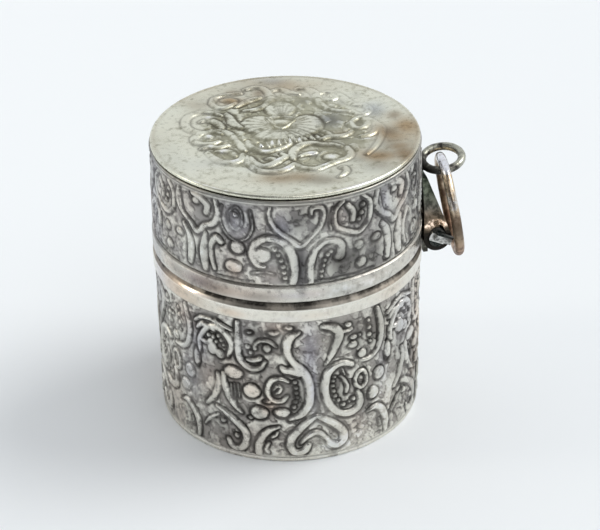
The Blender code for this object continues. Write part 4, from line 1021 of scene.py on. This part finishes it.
# Jump ring: round wire that hangs on the eye, brown with a golden tarnish and paler towards its top. A
# golden highlight is painted on its upper front and top, and a dark reflection across its middle front.
GOLDEN = old_silver(
    "golden_silver", 0.35, rubbed=(0.62, 0.50, 0.36), ground=(0.22, 0.155, 0.11), deep=(0.05, 0.035, 0.025),
    brown=(0.85, 0.66, 0.60), mottle=0.8,
)
RING_CENTRE = Vector((16.0879, -1.9898, 20.3685))
RING_FACING = Vector((0.9767, -0.1425, 0.1602))
RING_RADIUS = 4.75
RING_WIRE = 0.48
bm = bmesh.new()
turn = RING_FACING.to_track_quat("Z", "Y").to_matrix().to_4x4()
hoop(bm, RING_RADIUS, RING_WIRE, Matrix.Translation(RING_CENTRE * MM) @ turn, 224, 28)
mesh = finished(bm, "jump_ring")
points = dented(mesh, 0.014, 62, 0.8)
height = points[:, 2] - RING_CENTRE.z
near = smooth(0.5, -1.5, points[:, 1] - RING_CENTRE.y)
grime = 0.3 * smooth(0.2, 0.9, wander(points, 64, 0.9))
# The shade is a painted dark reflection across the middle front, with patches of grime; the highlight is
# painted on the upper front and top.
painted = {
    "relief": (0.45 + 0.35 * smooth(0.5, 3.5, height) + 0.2 * wander(points, 63, 1.2)).clip(0, 1),
    "shade": (0.95 * bell(height, -0.1, 1.2) * near + grime).clip(0, 1),
    "cool": 0.6 * smooth(4.2, 4.7, height),
    "warm": 0.8 * smooth(-0.5, -3.5, height),
    "bright": 0.6 * bell(height, 2.6, 1.1) * near + 0.8 * smooth(4.3, 4.8, height),
}
paint(mesh, painted)
piece("jump_ring", mesh, GOLDEN, "ring", "warm_tarnished_silver", "jump_ring")

# Floor: a plain matt white sheet under the case, wide enough to fill the picture. It is part of the
# stage and not of the object.
bm = bmesh.new()
bmesh.ops.create_grid(bm, x_segments=2, y_segments=2, size=3)
floor = placed("floor", finished(bm, "floor"))
paper, shader = material("paper")
feed(shader, {"Base Color": (0.86, 0.89, 0.91), "Roughness": 0.9, "Specular IOR Level": 0.2})
dress(floor.data, paper)

# Light: a pale room that is darker above the camera, a broad key light from behind on the right, a
# fill light from the front and a small warm window on the left.
ROOM = (0.93, 0.955, 0.98)
DIM = (0.12, 0.12, 0.13)
DIM_RISE = 1.5
LAMP_REACH = 0.6
scene.world = bpy.data.worlds.new("studio")
scene.world.use_nodes = True
tree = scene.world.node_tree
tree.nodes.clear()
ray = node(tree, "ShaderNodeTexCoord").outputs["Generated"]
dim_way = Vector((-sin(CAMERA_TURN), -cos(CAMERA_TURN), DIM_RISE)).normalized()
facing = node(tree, "ShaderNodeVectorMath", {0: ray, 1: dim_way}, operation="DOT_PRODUCT").outputs["Value"]
sky = blend(tree, ramp(facing, 0.4, 0.9), ROOM, DIM)
glow = node(tree, "ShaderNodeBackground", {"Color": sky, "Strength": 0.91})
node(tree, "ShaderNodeOutputWorld", {"Surface": glow.outputs[0]})


def lamp(name, kind, azimuth, rise, power, colour, spread):
    """A light that faces the case, its azimuth counted from the camera's right towards the back. The
    spread is a far light's angle in degrees, or a window's side in metres."""
    turn, rise = radians(azimuth) - CAMERA_TURN, radians(rise)
    way = Vector((cos(turn) * cos(rise), sin(turn) * cos(rise), sin(rise)))
    light = bpy.data.lights.new(name, kind)
    light.energy = power
    light.color = colour
    if kind == "SUN":
        light.angle = radians(spread)
    else:
        light.size = spread
    obj = placed(name, light)
    obj.location = LAMP_REACH * way
    obj.rotation_euler = way.to_track_quat("Z", "Y").to_euler()


lamp("key", "SUN", 14, 46, 1.4, (1, 0.99, 0.97), 35)
lamp("fill", "SUN", -55, 58, 0.7, (1, 1, 1), 50)
lamp("window_left", "AREA", 180, 30, 0.28, (1, 0.93, 0.80), 0.11)
